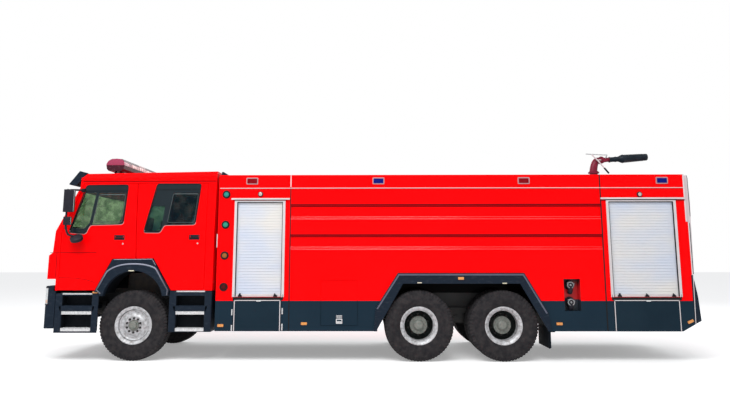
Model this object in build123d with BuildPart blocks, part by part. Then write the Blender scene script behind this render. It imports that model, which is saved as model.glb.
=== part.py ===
from build123d import *
from math import cos, radians, sin
import os

os.makedirs("parts", exist_ok=True)

# Airport fire truck, six by four, with a double cab, a water tank and a locker at each end of it.
# Millimetres. +X runs to the back, +Y to the truck's right, +Z up from the ground.
# In this file every length along the truck is counted back from the front axle.

# Overall layout
WIDTH = 2500
FRONT_OVERHANG = 1500
CAB_BACK = 1272
CAB_GAP = 58
FRONT_LOCKER_LENGTH = 1185
WHEELBASE = 4600
TANK_LENGTH = WHEELBASE + 475
REAR_LOCKER_LENGTH = 1380
TAIL_DEPTH = 120
BOGIE_SPACING = 1350
ROOF_Z = 2985
SKIRT_Z = 475
DECK_DEPTH = 80
WALL = 60

HALF = WIDTH / 2
FRONT_LOCKER_X = CAB_BACK + CAB_GAP
TANK_X = FRONT_LOCKER_X + FRONT_LOCKER_LENGTH
REAR_LOCKER_X = TANK_X + TANK_LENGTH
TAIL_X = REAR_LOCKER_X + REAR_LOCKER_LENGTH
REAR_END = TAIL_X + TAIL_DEPTH
BOGIE_X = WHEELBASE + BOGIE_SPACING / 2
AXLE_X = FRONT_OVERHANG - (FRONT_OVERHANG + REAR_END) / 2
DECK_Z = ROOF_Z - DECK_DEPTH

# Running gear
TYRE_R = 556
TYRE_WIDTH = 313
RIM_R = 270
FRONT_TYRE_Y = 1043
TWIN_OUTER_Y = 1084
TWIN_SPACING = 350
FACETS = 36
KINGPIN_Y = 840
KINGPIN_R = 25
SPINDLE_R = 45
REAR_STUB_R = 60
RUNNING_FIT = 0.06
TIE_ROD_X = 230
TIE_ROD_Y = KINGPIN_Y
TIE_ROD_Z = 517
AXLE_Z = TYRE_R
SPRING_Y = 430
SPRING_WIDTH = 80

# Ladder frame
RAIL_Y = 425
RAIL_TOP = 1040
RAIL_DEPTH = 300
RAIL_FLANGE = 85
RAIL_WEB = 10
RAIL_FRONT = -1150

# Cab
CAB_FLOOR_Z = 1111
CAB_FOOT_X = -1274
CHEEK_Z = 1294
CAB_WALL = 65
DOOR_THICKNESS = 58
DOOR_GAP = 12
PIVOT_X = -1330
PIVOT_Z = 1150
SEAT_GAP = 0.3
GLASS_INSET = 12
GLASS_THICKNESS = 8


def side(y=0):
    """Plane of a side view: x back from the front axle, y up, drawn at one y of the truck."""
    return Plane(origin=(AXLE_X, y, 0), x_dir=(1, 0, 0), z_dir=(0, -1, 0))


def plan(z=0):
    """Plane of a plan view: x back from the front axle, y to the right, at one height."""
    return Plane(origin=(AXLE_X, 0, z))


def front(x=0):
    """Plane of a view along the truck: x to the right, y up, at one distance from the axle."""
    return Plane(origin=(AXLE_X + x, 0, 0), x_dir=(0, 1, 0), z_dir=(1, 0, 0))


def block(x, y, z, mode=Mode.ADD):
    """A block from the first to the second value of each of x, y and z."""
    with Locations((AXLE_X + (x[0] + x[1]) / 2, (y[0] + y[1]) / 2, (z[0] + z[1]) / 2)):
        Box(x[1] - x[0], y[1] - y[0], z[1] - z[0], mode=mode)


def round_bar(start, end, radius, mode=Mode.ADD):
    """A round bar between two points, each given as x from the axle, y and z."""
    first = Vector(AXLE_X + start[0], start[1], start[2])
    last = Vector(AXLE_X + end[0], end[1], end[2])
    with BuildSketch(Plane(origin=first, z_dir=last - first)) as disc:
        Circle(radius)
    extrude(disc.sketch, amount=(last - first).length, mode=mode)


def save(builder, name):
    """Label a finished piece and write it."""
    builder.part.label = name
    export_step(builder.part, f"parts/{name}.step")


# Ladder frame: two channels, cross members, spring hangers and the cab's brackets
CROSS_MEMBERS = (
    -1140, 960, 1480, WHEELBASE - 1700, WHEELBASE - 700,
    BOGIE_X + 1375, REAR_LOCKER_X + 110, TAIL_X - 270,
)
FRONT_SPRING_END = 740
TRUNNION_Z = 610
TRUNNION_R = 50
BUMPER_INNER_X = -1385

with BuildPart() as frame:
    for hand in (-1, 1):
        with BuildSketch(front(RAIL_FRONT)):
            Polygon(
                (hand * RAIL_Y, RAIL_TOP - RAIL_DEPTH),
                (hand * RAIL_Y, RAIL_TOP),
                (hand * (RAIL_Y - RAIL_FLANGE), RAIL_TOP),
                (hand * (RAIL_Y - RAIL_FLANGE), RAIL_TOP - RAIL_WEB),
                (hand * (RAIL_Y - RAIL_WEB), RAIL_TOP - RAIL_WEB),
                (hand * (RAIL_Y - RAIL_WEB), RAIL_TOP - RAIL_DEPTH + RAIL_WEB),
                (hand * (RAIL_Y - RAIL_FLANGE), RAIL_TOP - RAIL_DEPTH + RAIL_WEB),
                (hand * (RAIL_Y - RAIL_FLANGE), RAIL_TOP - RAIL_DEPTH),
                align=None,
            )
        extrude(amount=TAIL_X - RAIL_FRONT)
    for x in CROSS_MEMBERS:
        block((x, x + 60), (1 - RAIL_Y, RAIL_Y - 1), (RAIL_TOP - 240, RAIL_TOP - 60))
    block((1120, 1200), (-380, 380), (RAIL_TOP - 20, CAB_FLOOR_Z - 0.3))
    for hand in (-1, 1):
        with BuildSketch(side(hand * 405 + 20)):
            Polygon(
                (BUMPER_INNER_X, RAIL_TOP - RAIL_DEPTH),
                (BUMPER_INNER_X, 960),
                (PIVOT_X - 38, PIVOT_Z + 40),
                (PIVOT_X + 38, PIVOT_Z + 40),
                (PIVOT_X + 45, PIVOT_Z - 55),
                (RAIL_FRONT, RAIL_TOP + 15),
                (RAIL_FRONT + 50, RAIL_TOP),
                (RAIL_FRONT + 50, RAIL_TOP - RAIL_DEPTH),
                align=None,
            )
        extrude(amount=40)
        round_bar((PIVOT_X, hand * 336, PIVOT_Z), (PIVOT_X, hand * 400, PIVOT_Z), 25)
        hanger_y = sorted((hand * (RAIL_Y - 1), hand * (SPRING_Y + SPRING_WIDTH)))
        for x in (-FRONT_SPRING_END - 60, FRONT_SPRING_END):
            block((x, x + 60), hanger_y, (720, 880))
        trunnion_y = sorted((hand * 340, hand * RAIL_Y))
        block((BOGIE_X - 160, BOGIE_X + 160), trunnion_y, (520, RAIL_TOP - RAIL_DEPTH + 5))
        round_bar(
            (BOGIE_X, hand * 400, TRUNNION_Z), (BOGIE_X, hand * 560, TRUNNION_Z), TRUNNION_R
        )
    block((BOGIE_X - 60, BOGIE_X + 60), (-341, 341), (655, 735))
save(frame, "frame")

# Engine as one plain block, gearbox and the shafts to the two driven axles
ENGINE_FRONT = -1050
ENGINE_BACK = 200
ENGINE_HALF = 325
ENGINE_Z = (660, 1370)
ENGINE_MOUNTS = (-900, 40)
GEARBOX_BACK = 900
SHAFT_R = 55
BANJO_R = 215

with BuildPart() as driveline:
    block((ENGINE_FRONT, ENGINE_BACK), (-ENGINE_HALF, ENGINE_HALF), ENGINE_Z)
    with BuildSketch(front(ENGINE_BACK)):
        with Locations((0, 850)):
            Rectangle(520, 380)
    with BuildSketch(front(GEARBOX_BACK)):
        with Locations((0, 770)):
            Rectangle(300, 240)
    loft(ruled=True)
    for x in ENGINE_MOUNTS:
        block((x, x + 80), (RAIL_WEB - RAIL_Y, RAIL_Y - RAIL_WEB), (900, 960))
    round_bar((GEARBOX_BACK, 0, 720), (WHEELBASE - BANJO_R - 0.5, 0, AXLE_Z + 20), SHAFT_R)
save(driveline, "driveline")

# Axles: a forged front beam with its kingpin eyes, and two driven housings
BEAM_HALF = 45
EYE_HEIGHT = 140

with BuildPart() as axles:
    with BuildSketch(front(-BEAM_HALF)):
        Polygon(
            (-KINGPIN_Y, AXLE_Z + 50),
            (-KINGPIN_Y, AXLE_Z - 50),
            (-560, AXLE_Z - 70),
            (-400, AXLE_Z - 125),
            (400, AXLE_Z - 125),
            (560, AXLE_Z - 70),
            (KINGPIN_Y, AXLE_Z - 50),
            (KINGPIN_Y, AXLE_Z + 50),
            (600, AXLE_Z + 40),
            (520, AXLE_Z + 54),
            (420, AXLE_Z + 54),
            (340, AXLE_Z - 20),
            (-340, AXLE_Z - 20),
            (-420, AXLE_Z + 54),
            (-520, AXLE_Z + 54),
            (-600, AXLE_Z + 40),
            align=None,
        )
    extrude(amount=2 * BEAM_HALF)
    for hand in (-1, 1):
        low = (0, hand * KINGPIN_Y, AXLE_Z - EYE_HEIGHT / 2)
        high = (0, hand * KINGPIN_Y, AXLE_Z + EYE_HEIGHT / 2)
        round_bar(low, high, BEAM_HALF + 3)
        round_bar(low, high, KINGPIN_R + RUNNING_FIT, mode=Mode.SUBTRACT)
    for x in (WHEELBASE, WHEELBASE + BOGIE_SPACING):
        round_bar((x, -560, AXLE_Z), (x, 560, AXLE_Z), 75)
        round_bar((x, -1010, AXLE_Z), (x, 1010, AXLE_Z), REAR_STUB_R)
        with BuildSketch(Plane(origin=(AXLE_X + x, 0, AXLE_Z), x_dir=(0, 1, 0), z_dir=(1, 0, 0))):
            Polygon((-230, 0), (-230, 80), (-110, BANJO_R), (110, BANJO_R), (230, 80), (230, 0), align=None)
        revolve(axis=Axis((AXLE_X + x, 0, AXLE_Z), (0, 1, 0)))
    between = (WHEELBASE + 150, WHEELBASE + BOGIE_SPACING - 150)
    round_bar((between[0], 0, AXLE_Z + 20), (between[1], 0, AXLE_Z + 20), SHAFT_R)
save(axles, "axles")

# Leaf springs: a pair on the front beam, and a rocking pair over the bogie's trunnion
LEAF_PACK = 60
BOGIE_PACK = 90

with BuildPart() as springs:
    for hand in (-1, 1):
        outer_y = max(hand * SPRING_Y, hand * (SPRING_Y + SPRING_WIDTH))
        with BuildSketch(side(outer_y)):
            with BuildLine():
                seat = AXLE_Z + 54
                end = seat + 125
                lower = ThreePointArc((-FRONT_SPRING_END, end), (0, seat), (FRONT_SPRING_END, end))
                Line(lower @ 1, (FRONT_SPRING_END, end + LEAF_PACK))
                upper = ThreePointArc(
                    (FRONT_SPRING_END, end + LEAF_PACK),
                    (0, seat + LEAF_PACK),
                    (-FRONT_SPRING_END, end + LEAF_PACK),
                )
                Line(upper @ 1, lower @ 0)
            make_face()
        extrude(amount=SPRING_WIDTH)
        with BuildSketch(side(max(hand * (SPRING_Y + 2), hand * (SPRING_Y + 107)))):
            with BuildLine():
                seat = AXLE_Z + 75
                reach = BOGIE_SPACING / 2 + 40
                arch = ThreePointArc((BOGIE_X - reach, seat), (BOGIE_X, seat + 70), (BOGIE_X + reach, seat))
                Line(arch @ 1, (BOGIE_X + reach, seat + 50))
                back = ThreePointArc(
                    (BOGIE_X + reach, seat + 50),
                    (BOGIE_X, seat + 70 + BOGIE_PACK),
                    (BOGIE_X - reach, seat + 50),
                )
                Line(back @ 1, arch @ 0)
            make_face()
            with Locations((BOGIE_X, TRUNNION_Z + 35)):
                Rectangle(220, 190)
            with Locations((BOGIE_X, TRUNNION_Z)):
                Circle(TRUNNION_R + 0.3, mode=Mode.SUBTRACT)
        extrude(amount=105)
        pad_y = sorted((hand * (SPRING_Y + 2), hand * (SPRING_Y + 107)))
        for x in (WHEELBASE, WHEELBASE + BOGIE_SPACING):
            block((x - 60, x + 60), pad_y, (AXLE_Z + 40, AXLE_Z + 110))
            round_bar((x, pad_y[0] - 1, AXLE_Z), (x, pad_y[1] + 1, AXLE_Z), 75, mode=Mode.SUBTRACT)
save(springs, "springs")


def ring(x, y, apothem, hole=0):
    """A many-sided ring about an axle, with a flat at the bottom, drawn at one y."""
    with BuildSketch(side(y)) as outline:
        with Locations((x, AXLE_Z)):
            RegularPolygon(apothem, FACETS, major_radius=False, rotation=180 / FACETS)
            if hole:
                RegularPolygon(
                    hole, FACETS, major_radius=False, rotation=180 / FACETS, mode=Mode.SUBTRACT
                )
    return outline.sketch


def tyre_ring(x, centre_y):
    """One tyre, its tread and sidewalls drawn as rings with a flat at the bottom."""
    half = TYRE_WIDTH / 2
    rings = (
        # offset across, apothem
        (-122, RIM_R + 24),
        (-half, 430),
        (-118, TYRE_R),
        (118, TYRE_R),
        (half, 430),
        (122, RIM_R + 24),
    )
    loft([ring(x, centre_y + offset_y, apothem).face() for offset_y, apothem in rings], ruled=True)
    bore = ring(x, centre_y + TYRE_WIDTH, RIM_R + 0.3)
    extrude(bore, amount=2 * TYRE_WIDTH, mode=Mode.SUBTRACT)


def wheel_ring(x, rings):
    """A stack of rings along the axle, each an offset across the truck and an apothem."""
    loft([ring(x, offset_y, apothem).face() for offset_y, apothem in rings], ruled=True)


def rim(x, centre_y, disc_y):
    """A rim barrel with its two flanges, round one tyre's bore, and the disc that closes it."""
    for start, depth, apothem in ((-132, 264, RIM_R), (-132, 9, RIM_R + 22), (123, 9, RIM_R + 22)):
        extrude(ring(x, centre_y - start, apothem, RIM_R - 16), amount=depth)
    extrude(ring(x, disc_y + 8, RIM_R - 15), amount=16)


# Steered knuckles with their spindles, and the tie rod between their arms
ARM_LOW = AXLE_Z - EYE_HEIGHT / 2 - 40
ARM_HIGH = AXLE_Z + EYE_HEIGHT / 2 + 40

with BuildPart() as knuckle_l:
    for low, high in ((ARM_LOW, ARM_LOW + 39.7), (ARM_HIGH - 39.7, ARM_HIGH)):
        block((-45, 45), (-930, 45 - KINGPIN_Y), (low, high))
    block((-45, 45), (-930, -895), (ARM_LOW, ARM_HIGH))
    round_bar((0, -KINGPIN_Y, ARM_LOW), (0, -KINGPIN_Y, ARM_HIGH), KINGPIN_R)
    round_bar((0, -929, AXLE_Z), (0, -1150, AXLE_Z), SPINDLE_R)
    with BuildSketch(plan(ARM_LOW)):
        Polygon(
            (44, 20 - KINGPIN_Y), (44, 43 - KINGPIN_Y), (TIE_ROD_X - 25, 25 - TIE_ROD_Y),
            (TIE_ROD_X + 25, 25 - TIE_ROD_Y), (TIE_ROD_X + 25, -25 - TIE_ROD_Y),
            (TIE_ROD_X - 60, -25 - TIE_ROD_Y), (44, -20 - KINGPIN_Y), align=None,
        )
    extrude(amount=25)
    round_bar((TIE_ROD_X, -TIE_ROD_Y, ARM_LOW + 24), (TIE_ROD_X, -TIE_ROD_Y, TIE_ROD_Z + 25), 12)
save(knuckle_l, "knuckle_l")

with BuildPart() as knuckle_r:
    mirror(knuckle_l.part, about=Plane.XZ)
save(knuckle_r, "knuckle_r")

with BuildPart() as tie_rod:
    round_bar((TIE_ROD_X, -TIE_ROD_Y, TIE_ROD_Z), (TIE_ROD_X, TIE_ROD_Y, TIE_ROD_Z), 18)
    for hand in (-1, 1):
        low = (TIE_ROD_X, hand * TIE_ROD_Y, TIE_ROD_Z - 20)
        high = (TIE_ROD_X, hand * TIE_ROD_Y, TIE_ROD_Z + 20)
        round_bar(low, high, 26)
        round_bar(low, high, 12 + RUNNING_FIT, mode=Mode.SUBTRACT)
save(tie_rod, "tie_rod")

# Front wheels: the disc bulges outwards to a bolting face round the hub
HUB_R = 130
FRONT_BOLT_FACE = FRONT_TYRE_Y + 95

with BuildPart() as tyre_fl:
    tyre_ring(0, -FRONT_TYRE_Y)
save(tyre_fl, "tyre_fl")

with BuildPart() as tyre_fr:
    mirror(tyre_fl.part, about=Plane.XZ)
save(tyre_fr, "tyre_fr")

with BuildPart() as wheel_fl:
    rim(0, -FRONT_TYRE_Y, -FRONT_TYRE_Y - 30)
    wheel_ring(0, ((-FRONT_TYRE_Y - 30, 215), (-FRONT_BOLT_FACE, 168)))
    wheel_ring(0, ((-940, HUB_R), (-FRONT_BOLT_FACE, HUB_R)))
    wheel_ring(0, ((-FRONT_BOLT_FACE + 1, 105), (-FRONT_BOLT_FACE - 38, 88)))
    round_bar((0, -900, AXLE_Z), (0, -1155, AXLE_Z), SPINDLE_R + RUNNING_FIT, mode=Mode.SUBTRACT)
save(wheel_fl, "wheel_fl")

with BuildPart() as wheel_fr:
    mirror(wheel_fl.part, about=Plane.XZ)
save(wheel_fr, "wheel_fr")

# Rear wheels: twins on one hub, the discs bolted back to back between the tyres
TWIN_INNER_Y = TWIN_OUTER_Y - TWIN_SPACING
TWIN_JOINT_Y = (TWIN_OUTER_Y + TWIN_INNER_Y) / 2
REAR_WHEELS = (("m", WHEELBASE), ("r", WHEELBASE + BOGIE_SPACING))

for row, x in REAR_WHEELS:
    with BuildPart() as twin_tyres:
        tyre_ring(x, -TWIN_OUTER_Y)
        tyre_ring(x, -TWIN_INNER_Y)
    save(twin_tyres, f"tyre_{row}l")
    with BuildPart() as twin_tyres_right:
        mirror(twin_tyres.part, about=Plane.XZ)
    save(twin_tyres_right, f"tyre_{row}r")
    with BuildPart() as twin_wheel:
        rim(x, -TWIN_OUTER_Y, -TWIN_JOINT_Y - 8)
        rim(x, -TWIN_INNER_Y, -TWIN_JOINT_Y + 8)
        extrude(ring(x, 45 - TWIN_JOINT_Y, RIM_R - 10, RIM_R - 30), amount=90)
        wheel_ring(x, ((-600, 150), (-TWIN_JOINT_Y - 60, 150), (-TWIN_JOINT_Y - 190, 128)))
        wheel_ring(x, ((-TWIN_JOINT_Y - 189, 70), (-TWIN_JOINT_Y - 225, 60)))
        round_bar((x, -590, AXLE_Z), (x, -1015, AXLE_Z), REAR_STUB_R + RUNNING_FIT, mode=Mode.SUBTRACT)
    save(twin_wheel, f"wheel_{row}l")
    with BuildPart() as twin_wheel_right:
        mirror(twin_wheel.part, about=Plane.XZ)
    save(twin_wheel_right, f"wheel_{row}r")

# Front bumper: a bowed beam that wraps round the corners, with lamp pockets and air slots
BUMPER_LOW = 514
BUMPER_TOP = 1183
BUMPER_CENTRE_TOP = 1140
BUMPER_CORNER_X = -1435
LAMP_Y = (860, 1190)
LAMP_Z = (900, 1150)
LAMP_BACK_X = -1412

with BuildPart() as front_bumper:
    with BuildSketch(plan(BUMPER_LOW)):
        with BuildLine():
            Line((-1262, -HALF), (BUMPER_CORNER_X + 50, -HALF))
            ThreePointArc(
                (BUMPER_CORNER_X + 50, -HALF), (BUMPER_CORNER_X + 12, 20 - HALF), (BUMPER_CORNER_X, 60 - HALF)
            )
            ThreePointArc((BUMPER_CORNER_X, 60 - HALF), (-FRONT_OVERHANG, 0), (BUMPER_CORNER_X, HALF - 60))
            ThreePointArc(
                (BUMPER_CORNER_X, HALF - 60), (BUMPER_CORNER_X + 12, HALF - 20), (BUMPER_CORNER_X + 50, HALF)
            )
            Polyline(
                (BUMPER_CORNER_X + 50, HALF),
                (-1262, HALF),
                (-1262, HALF - 55),
                (BUMPER_INNER_X, HALF - 55),
                (BUMPER_INNER_X, 55 - HALF),
                (-1262, 55 - HALF),
                (-1262, -HALF),
            )
        make_face()
    extrude(amount=BUMPER_TOP - BUMPER_LOW)
    block((-1295, -1200), (-HALF, HALF), (1098, BUMPER_TOP), mode=Mode.SUBTRACT)
    block((-1600, -1200), (-830, 830), (BUMPER_CENTRE_TOP, BUMPER_TOP), mode=Mode.SUBTRACT)
    for low, high in ((600, 680), (710, 790)):
        block((-1600, -1200), (-620, 620), (low, high), mode=Mode.SUBTRACT)
    for hand in (-1, 1):
        block((-1600, LAMP_BACK_X), sorted((hand * LAMP_Y[0], hand * LAMP_Y[1])), LAMP_Z, mode=Mode.SUBTRACT)
save(front_bumper, "front_bumper")

# Cab steps: moulded boxes at each side, ahead of the tyre and behind it, with two toe recesses
STEP_INNER_Y = 930
STEP_SWEEP_R = 692
STEPS = (
    # front x, back x, bottom, top, first and second arm
    (-1254, -552, 447, 1064, -1200, -900),
    (587, 1266, 462, 1103, 860, 1150),
)

with BuildPart() as steps:
    for front_x, back_x, low, high, first_arm, second_arm in STEPS:
        block((front_x, back_x), (-HALF, -STEP_INNER_Y), (low, high))
        for toe_low, toe_high in ((520, 732), (872, 1030)):
            block((front_x + 110, back_x - 110), (-HALF, -1100), (toe_low, toe_high), mode=Mode.SUBTRACT)
        for arm in (first_arm, second_arm):
            block((arm, arm + 60), (-STEP_INNER_Y - 1, -RAIL_Y), (780, 840))
    round_bar((0, -KINGPIN_Y, 400), (0, -KINGPIN_Y, 1200), STEP_SWEEP_R, mode=Mode.SUBTRACT)
    mirror(about=Plane.XZ)
save(steps, "steps")

# Cab: a skin lofted through a few plan sections, from which doors, glass and panels are taken
CAB_SECTIONS = (
    # height, x of the front corner, half width, bow of the front, slope of the section
    (CHEEK_Z, -1414, HALF, 60, 0),
    (1671, -1412, HALF, 66, 0),
    (1719, -1352, HALF, 90, 0),
    (2067, -1328, HALF, 100, 0),
    (2783, -998, HALF - 55, 90, 0),
    (2960, -990, HALF - 66, 70, 1),
    (3042, -920, HALF - 125, 50, 1),
)


def cab_form(inset=0, mode=Mode.ADD):
    """The cab's whole outline, drawn in by the inset on every side."""
    with BuildSketch(plan(CAB_FLOOR_Z + inset)) as foot:
        with Locations(((CAB_FOOT_X + CAB_BACK) / 2, 0)):
            Rectangle(CAB_BACK - CAB_FOOT_X - 2 * inset, WIDTH - 2 * inset)
    extrude(foot.sketch, amount=CHEEK_Z + 5 - CAB_FLOOR_Z, mode=mode)
    last = len(CAB_SECTIONS) - 1
    sections = []
    for number, (height, corner, half_width, bow, slope) in enumerate(CAB_SECTIONS):
        lift = inset if number == 0 else 0
        lift = -inset if number == last else lift
        tilt = Plane(
            origin=(AXLE_X, 0, height + lift),
            x_dir=(cos(radians(slope)), 0, sin(radians(slope))),
            z_dir=(-sin(radians(slope)), 0, cos(radians(slope))),
        )
        across = half_width - inset
        with BuildSketch(tilt) as section:
            with BuildLine():
                ThreePointArc((corner + inset, across), (corner + inset - bow, 0), (corner + inset, -across))
                Polyline(
                    (corner + inset, -across),
                    (CAB_BACK - inset, -across),
                    (CAB_BACK - inset, across),
                    (corner + inset, across),
                )
            make_face()
        sections.append(section.sketch.face())
    loft(sections, ruled=True, mode=mode)


def open_floor(inset, start):
    """Takes the bottom out of a cab skin of the given thickness, from one x to the back wall."""
    across = (inset - HALF, HALF - inset)
    block((start, CAB_BACK - inset), across, (CAB_FLOOR_Z - 5, CHEEK_Z + inset), mode=Mode.SUBTRACT)


with BuildPart() as cab_skin:
    cab_form()
    cab_form(CAB_WALL, mode=Mode.SUBTRACT)
    open_floor(CAB_WALL, CAB_FOOT_X + CAB_WALL)

with BuildPart() as door_skin:
    cab_form()
    cab_form(DOOR_THICKNESS, mode=Mode.SUBTRACT)
    open_floor(DOOR_THICKNESS, CAB_FOOT_X - 1)

with BuildPart() as glass_skin:
    cab_form(GLASS_INSET)
    cab_form(GLASS_INSET + GLASS_THICKNESS, mode=Mode.SUBTRACT)

# Outlines in side view; each side opening of the cab takes two doors and the wheel flare
DOOR_FRONT_X = -1227
DOOR_BACK_X = 1132
DOOR_TOP = 2850
DOOR_LOW = 1115
PILLAR_TOP_X = -925
DOOR_SPLIT_TOP = -38
DOOR_SPLIT_LOW = 12
FLARE = ((-625, 1085), (-625, 1103), (-363, 1606), (289, 1613), (592, 1112), (575, 1112), (575, 1030))
FLARE_TOP = 1613
FLARE_ARC_R = 490
FLARE_ARC_Z = 935
WINDOW_FRONT = ((-891, 2791), (-196, 2797), (-232, 2180), (-775, 2165), (-836, 2020), (-1113, 2043))
WINDOW_REAR = ((287, 2814), (1017, 2813), (951, 2171), (442, 2164), (383, 2041), (112, 2042))
SCREEN = ((-1125, 2110), (1125, 2110), (1060, 2755), (-1060, 2755))
PANEL_HALF = 1040
PANEL_Z = (1306, 2036)
PANEL_THICKNESS = 45
PANEL_GAP = 7
LIP_X = -1368
HANDLE_FRONT = (-278, 1961)
HANDLE_REAR = (946, 1968)


def flare_outline(gap=0):
    """The flare's outer edge in side view, with a gap round it for the doors."""
    Polygon(
        (-625 - gap, 1000),
        (-625 - gap, 1103),
        (-363 - gap, 1606 + gap),
        (289 + gap, 1613 + gap),
        (598 + gap, 1103),
        (598 + gap, 1000),
        align=None,
        mode=Mode.SUBTRACT,
    )


with BuildPart() as panel_space:
    cab_form()
    cab_form(PANEL_THICKNESS + PANEL_GAP, mode=Mode.SUBTRACT)
    block((LIP_X, -1150), (-HALF, HALF), (CHEEK_Z - 1, CHEEK_Z + CAB_WALL), mode=Mode.SUBTRACT)
    with BuildSketch(front(-2000)):
        with Locations((0, (CHEEK_Z - 10 + PANEL_Z[1] + PANEL_GAP) / 2)):
            Rectangle(2 * (PANEL_HALF + PANEL_GAP), PANEL_Z[1] + PANEL_GAP - CHEEK_Z + 10)
    extrude(amount=1500, mode=Mode.INTERSECT)

with BuildPart() as cab_shell:
    add(cab_skin.part)
    with BuildSketch(front(-2000)):
        Polygon(*SCREEN, align=None)
    extrude(amount=1500, mode=Mode.SUBTRACT)
    add(panel_space.part, mode=Mode.SUBTRACT)
    for start in (-1060, HALF + 100):
        with BuildSketch(side(start)):
            Polygon(
                (DOOR_FRONT_X - DOOR_GAP / 2, 1000),
                (DOOR_FRONT_X - DOOR_GAP / 2, 2052),
                (PILLAR_TOP_X - DOOR_GAP / 2, DOOR_TOP + DOOR_GAP / 2),
                (DOOR_BACK_X + DOOR_GAP / 2, DOOR_TOP + DOOR_GAP / 2),
                (DOOR_BACK_X + DOOR_GAP / 2, 1000),
                align=None,
            )
        extrude(amount=HALF + 100 - 1060, mode=Mode.SUBTRACT)
    floor_half = HALF - CAB_WALL
    with BuildSketch(side(floor_half)):
        Polygon(
            (CAB_FOOT_X + 5, CAB_FLOOR_Z), (-640, CAB_FLOOR_Z), (-420, 1480), (360, 1480), (620, CAB_FLOOR_Z),
            (CAB_BACK - 5, CAB_FLOOR_Z), (CAB_BACK - 5, CAB_FLOOR_Z + 40), (640, CAB_FLOOR_Z + 40),
            (380, 1520), (-440, 1520), (-660, CAB_FLOOR_Z + 40), (CAB_FOOT_X + 5, CAB_FLOOR_Z + 40),
            align=None,
        )
    extrude(amount=2 * floor_half)
    block((-1160, -410), (-430, 430), (CAB_FLOOR_Z, 1470))
    with BuildSketch(side(400)):
        Polygon((-1130, 1000), (-1130, 1440), (-443, 1440), (-420, 1479), (-400, 1479), (-400, 1000), align=None)
    extrude(amount=800, mode=Mode.SUBTRACT)
    for hand in (-1, 1):
        lug_y = max(hand * 343, hand * 383)
        with BuildSketch(side(lug_y)):
            with Locations((PIVOT_X, PIVOT_Z)):
                Circle(38)
            with Locations(((PIVOT_X + CAB_FOOT_X) / 2 + 3, PIVOT_Z)):
                Rectangle(CAB_FOOT_X - PIVOT_X + 6, 76)
            with Locations((PIVOT_X, PIVOT_Z)):
                Circle(25 + RUNNING_FIT, mode=Mode.SUBTRACT)
        extrude(amount=40)

with BuildPart() as pillar:
    cab_form(DOOR_THICKNESS + SEAT_GAP)
    cab_form(CAB_WALL + 45, mode=Mode.SUBTRACT)
    with BuildSketch(side(HALF)):
        Polygon((-60, 1515), (-100, 3040), (30, 3040), (70, 1515), align=None)
    extrude(amount=WIDTH, mode=Mode.INTERSECT)
    for hand in (-1, 1):
        outer = sorted((hand * floor_half, hand * HALF))
        block((-110, 90), outer, (1500, FLARE_TOP + 12), mode=Mode.SUBTRACT)

with BuildPart() as panel_stops:
    cab_form(PANEL_THICKNESS + SEAT_GAP)
    cab_form(PANEL_THICKNESS + PANEL_GAP + 2, mode=Mode.SUBTRACT)
    with BuildSketch(front(-2000)):
        with Locations((-900, 1690), (900, 1690)):
            Rectangle(60, 50)
    extrude(amount=1500, mode=Mode.INTERSECT)

with BuildPart() as cab_body:
    add(cab_shell.part)
    add(pillar.part)
    add(panel_stops.part)
save(cab_body, "cab_shell")

with BuildPart() as windscreen:
    add(glass_skin.part)
    with BuildSketch(front(-2000)):
        Polygon(*SCREEN, align=None)
    extrude(amount=1500, mode=Mode.INTERSECT)
save(windscreen, "windscreen")

with BuildPart() as front_panel:
    cab_form()
    cab_form(PANEL_THICKNESS, mode=Mode.SUBTRACT)
    block((LIP_X - 18, -1150), (-HALF, HALF), (CHEEK_Z - 1, CHEEK_Z + CAB_WALL), mode=Mode.SUBTRACT)
    with BuildSketch(front(-2000)):
        with Locations((0, (PANEL_Z[0] + PANEL_Z[1]) / 2)):
            Rectangle(2 * PANEL_HALF, PANEL_Z[1] - PANEL_Z[0])
        with Locations((0, 1400), (0, 1480), (0, 1560), (0, 1640)):
            Rectangle(1500, 42, mode=Mode.SUBTRACT)
    extrude(amount=1500, mode=Mode.INTERSECT)
save(front_panel, "front_panel")


def door_outline(outline, window):
    """A door in side view: its edge, less the wheel flare and the window."""
    Polygon(*outline, align=None)
    flare_outline(DOOR_GAP)
    Polygon(*window, align=None, mode=Mode.SUBTRACT)


DOORS = (
    # name, outline in side view, window, middle of the handle
    (
        "f",
        (
            (DOOR_FRONT_X, DOOR_LOW),
            (DOOR_FRONT_X, 2050),
            (PILLAR_TOP_X, DOOR_TOP),
            (DOOR_SPLIT_TOP - DOOR_GAP / 2, DOOR_TOP),
            (DOOR_SPLIT_LOW - DOOR_GAP / 2, 1600),
            (DOOR_SPLIT_LOW - DOOR_GAP / 2, DOOR_LOW),
        ),
        WINDOW_FRONT,
        HANDLE_FRONT,
    ),
    (
        "r",
        (
            (DOOR_SPLIT_LOW + DOOR_GAP / 2, DOOR_LOW),
            (DOOR_SPLIT_LOW + DOOR_GAP / 2, 1600),
            (DOOR_SPLIT_TOP + DOOR_GAP / 2, DOOR_TOP),
            (DOOR_BACK_X, DOOR_TOP),
            (DOOR_BACK_X, DOOR_LOW),
        ),
        WINDOW_REAR,
        HANDLE_REAR,
    ),
)

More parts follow.
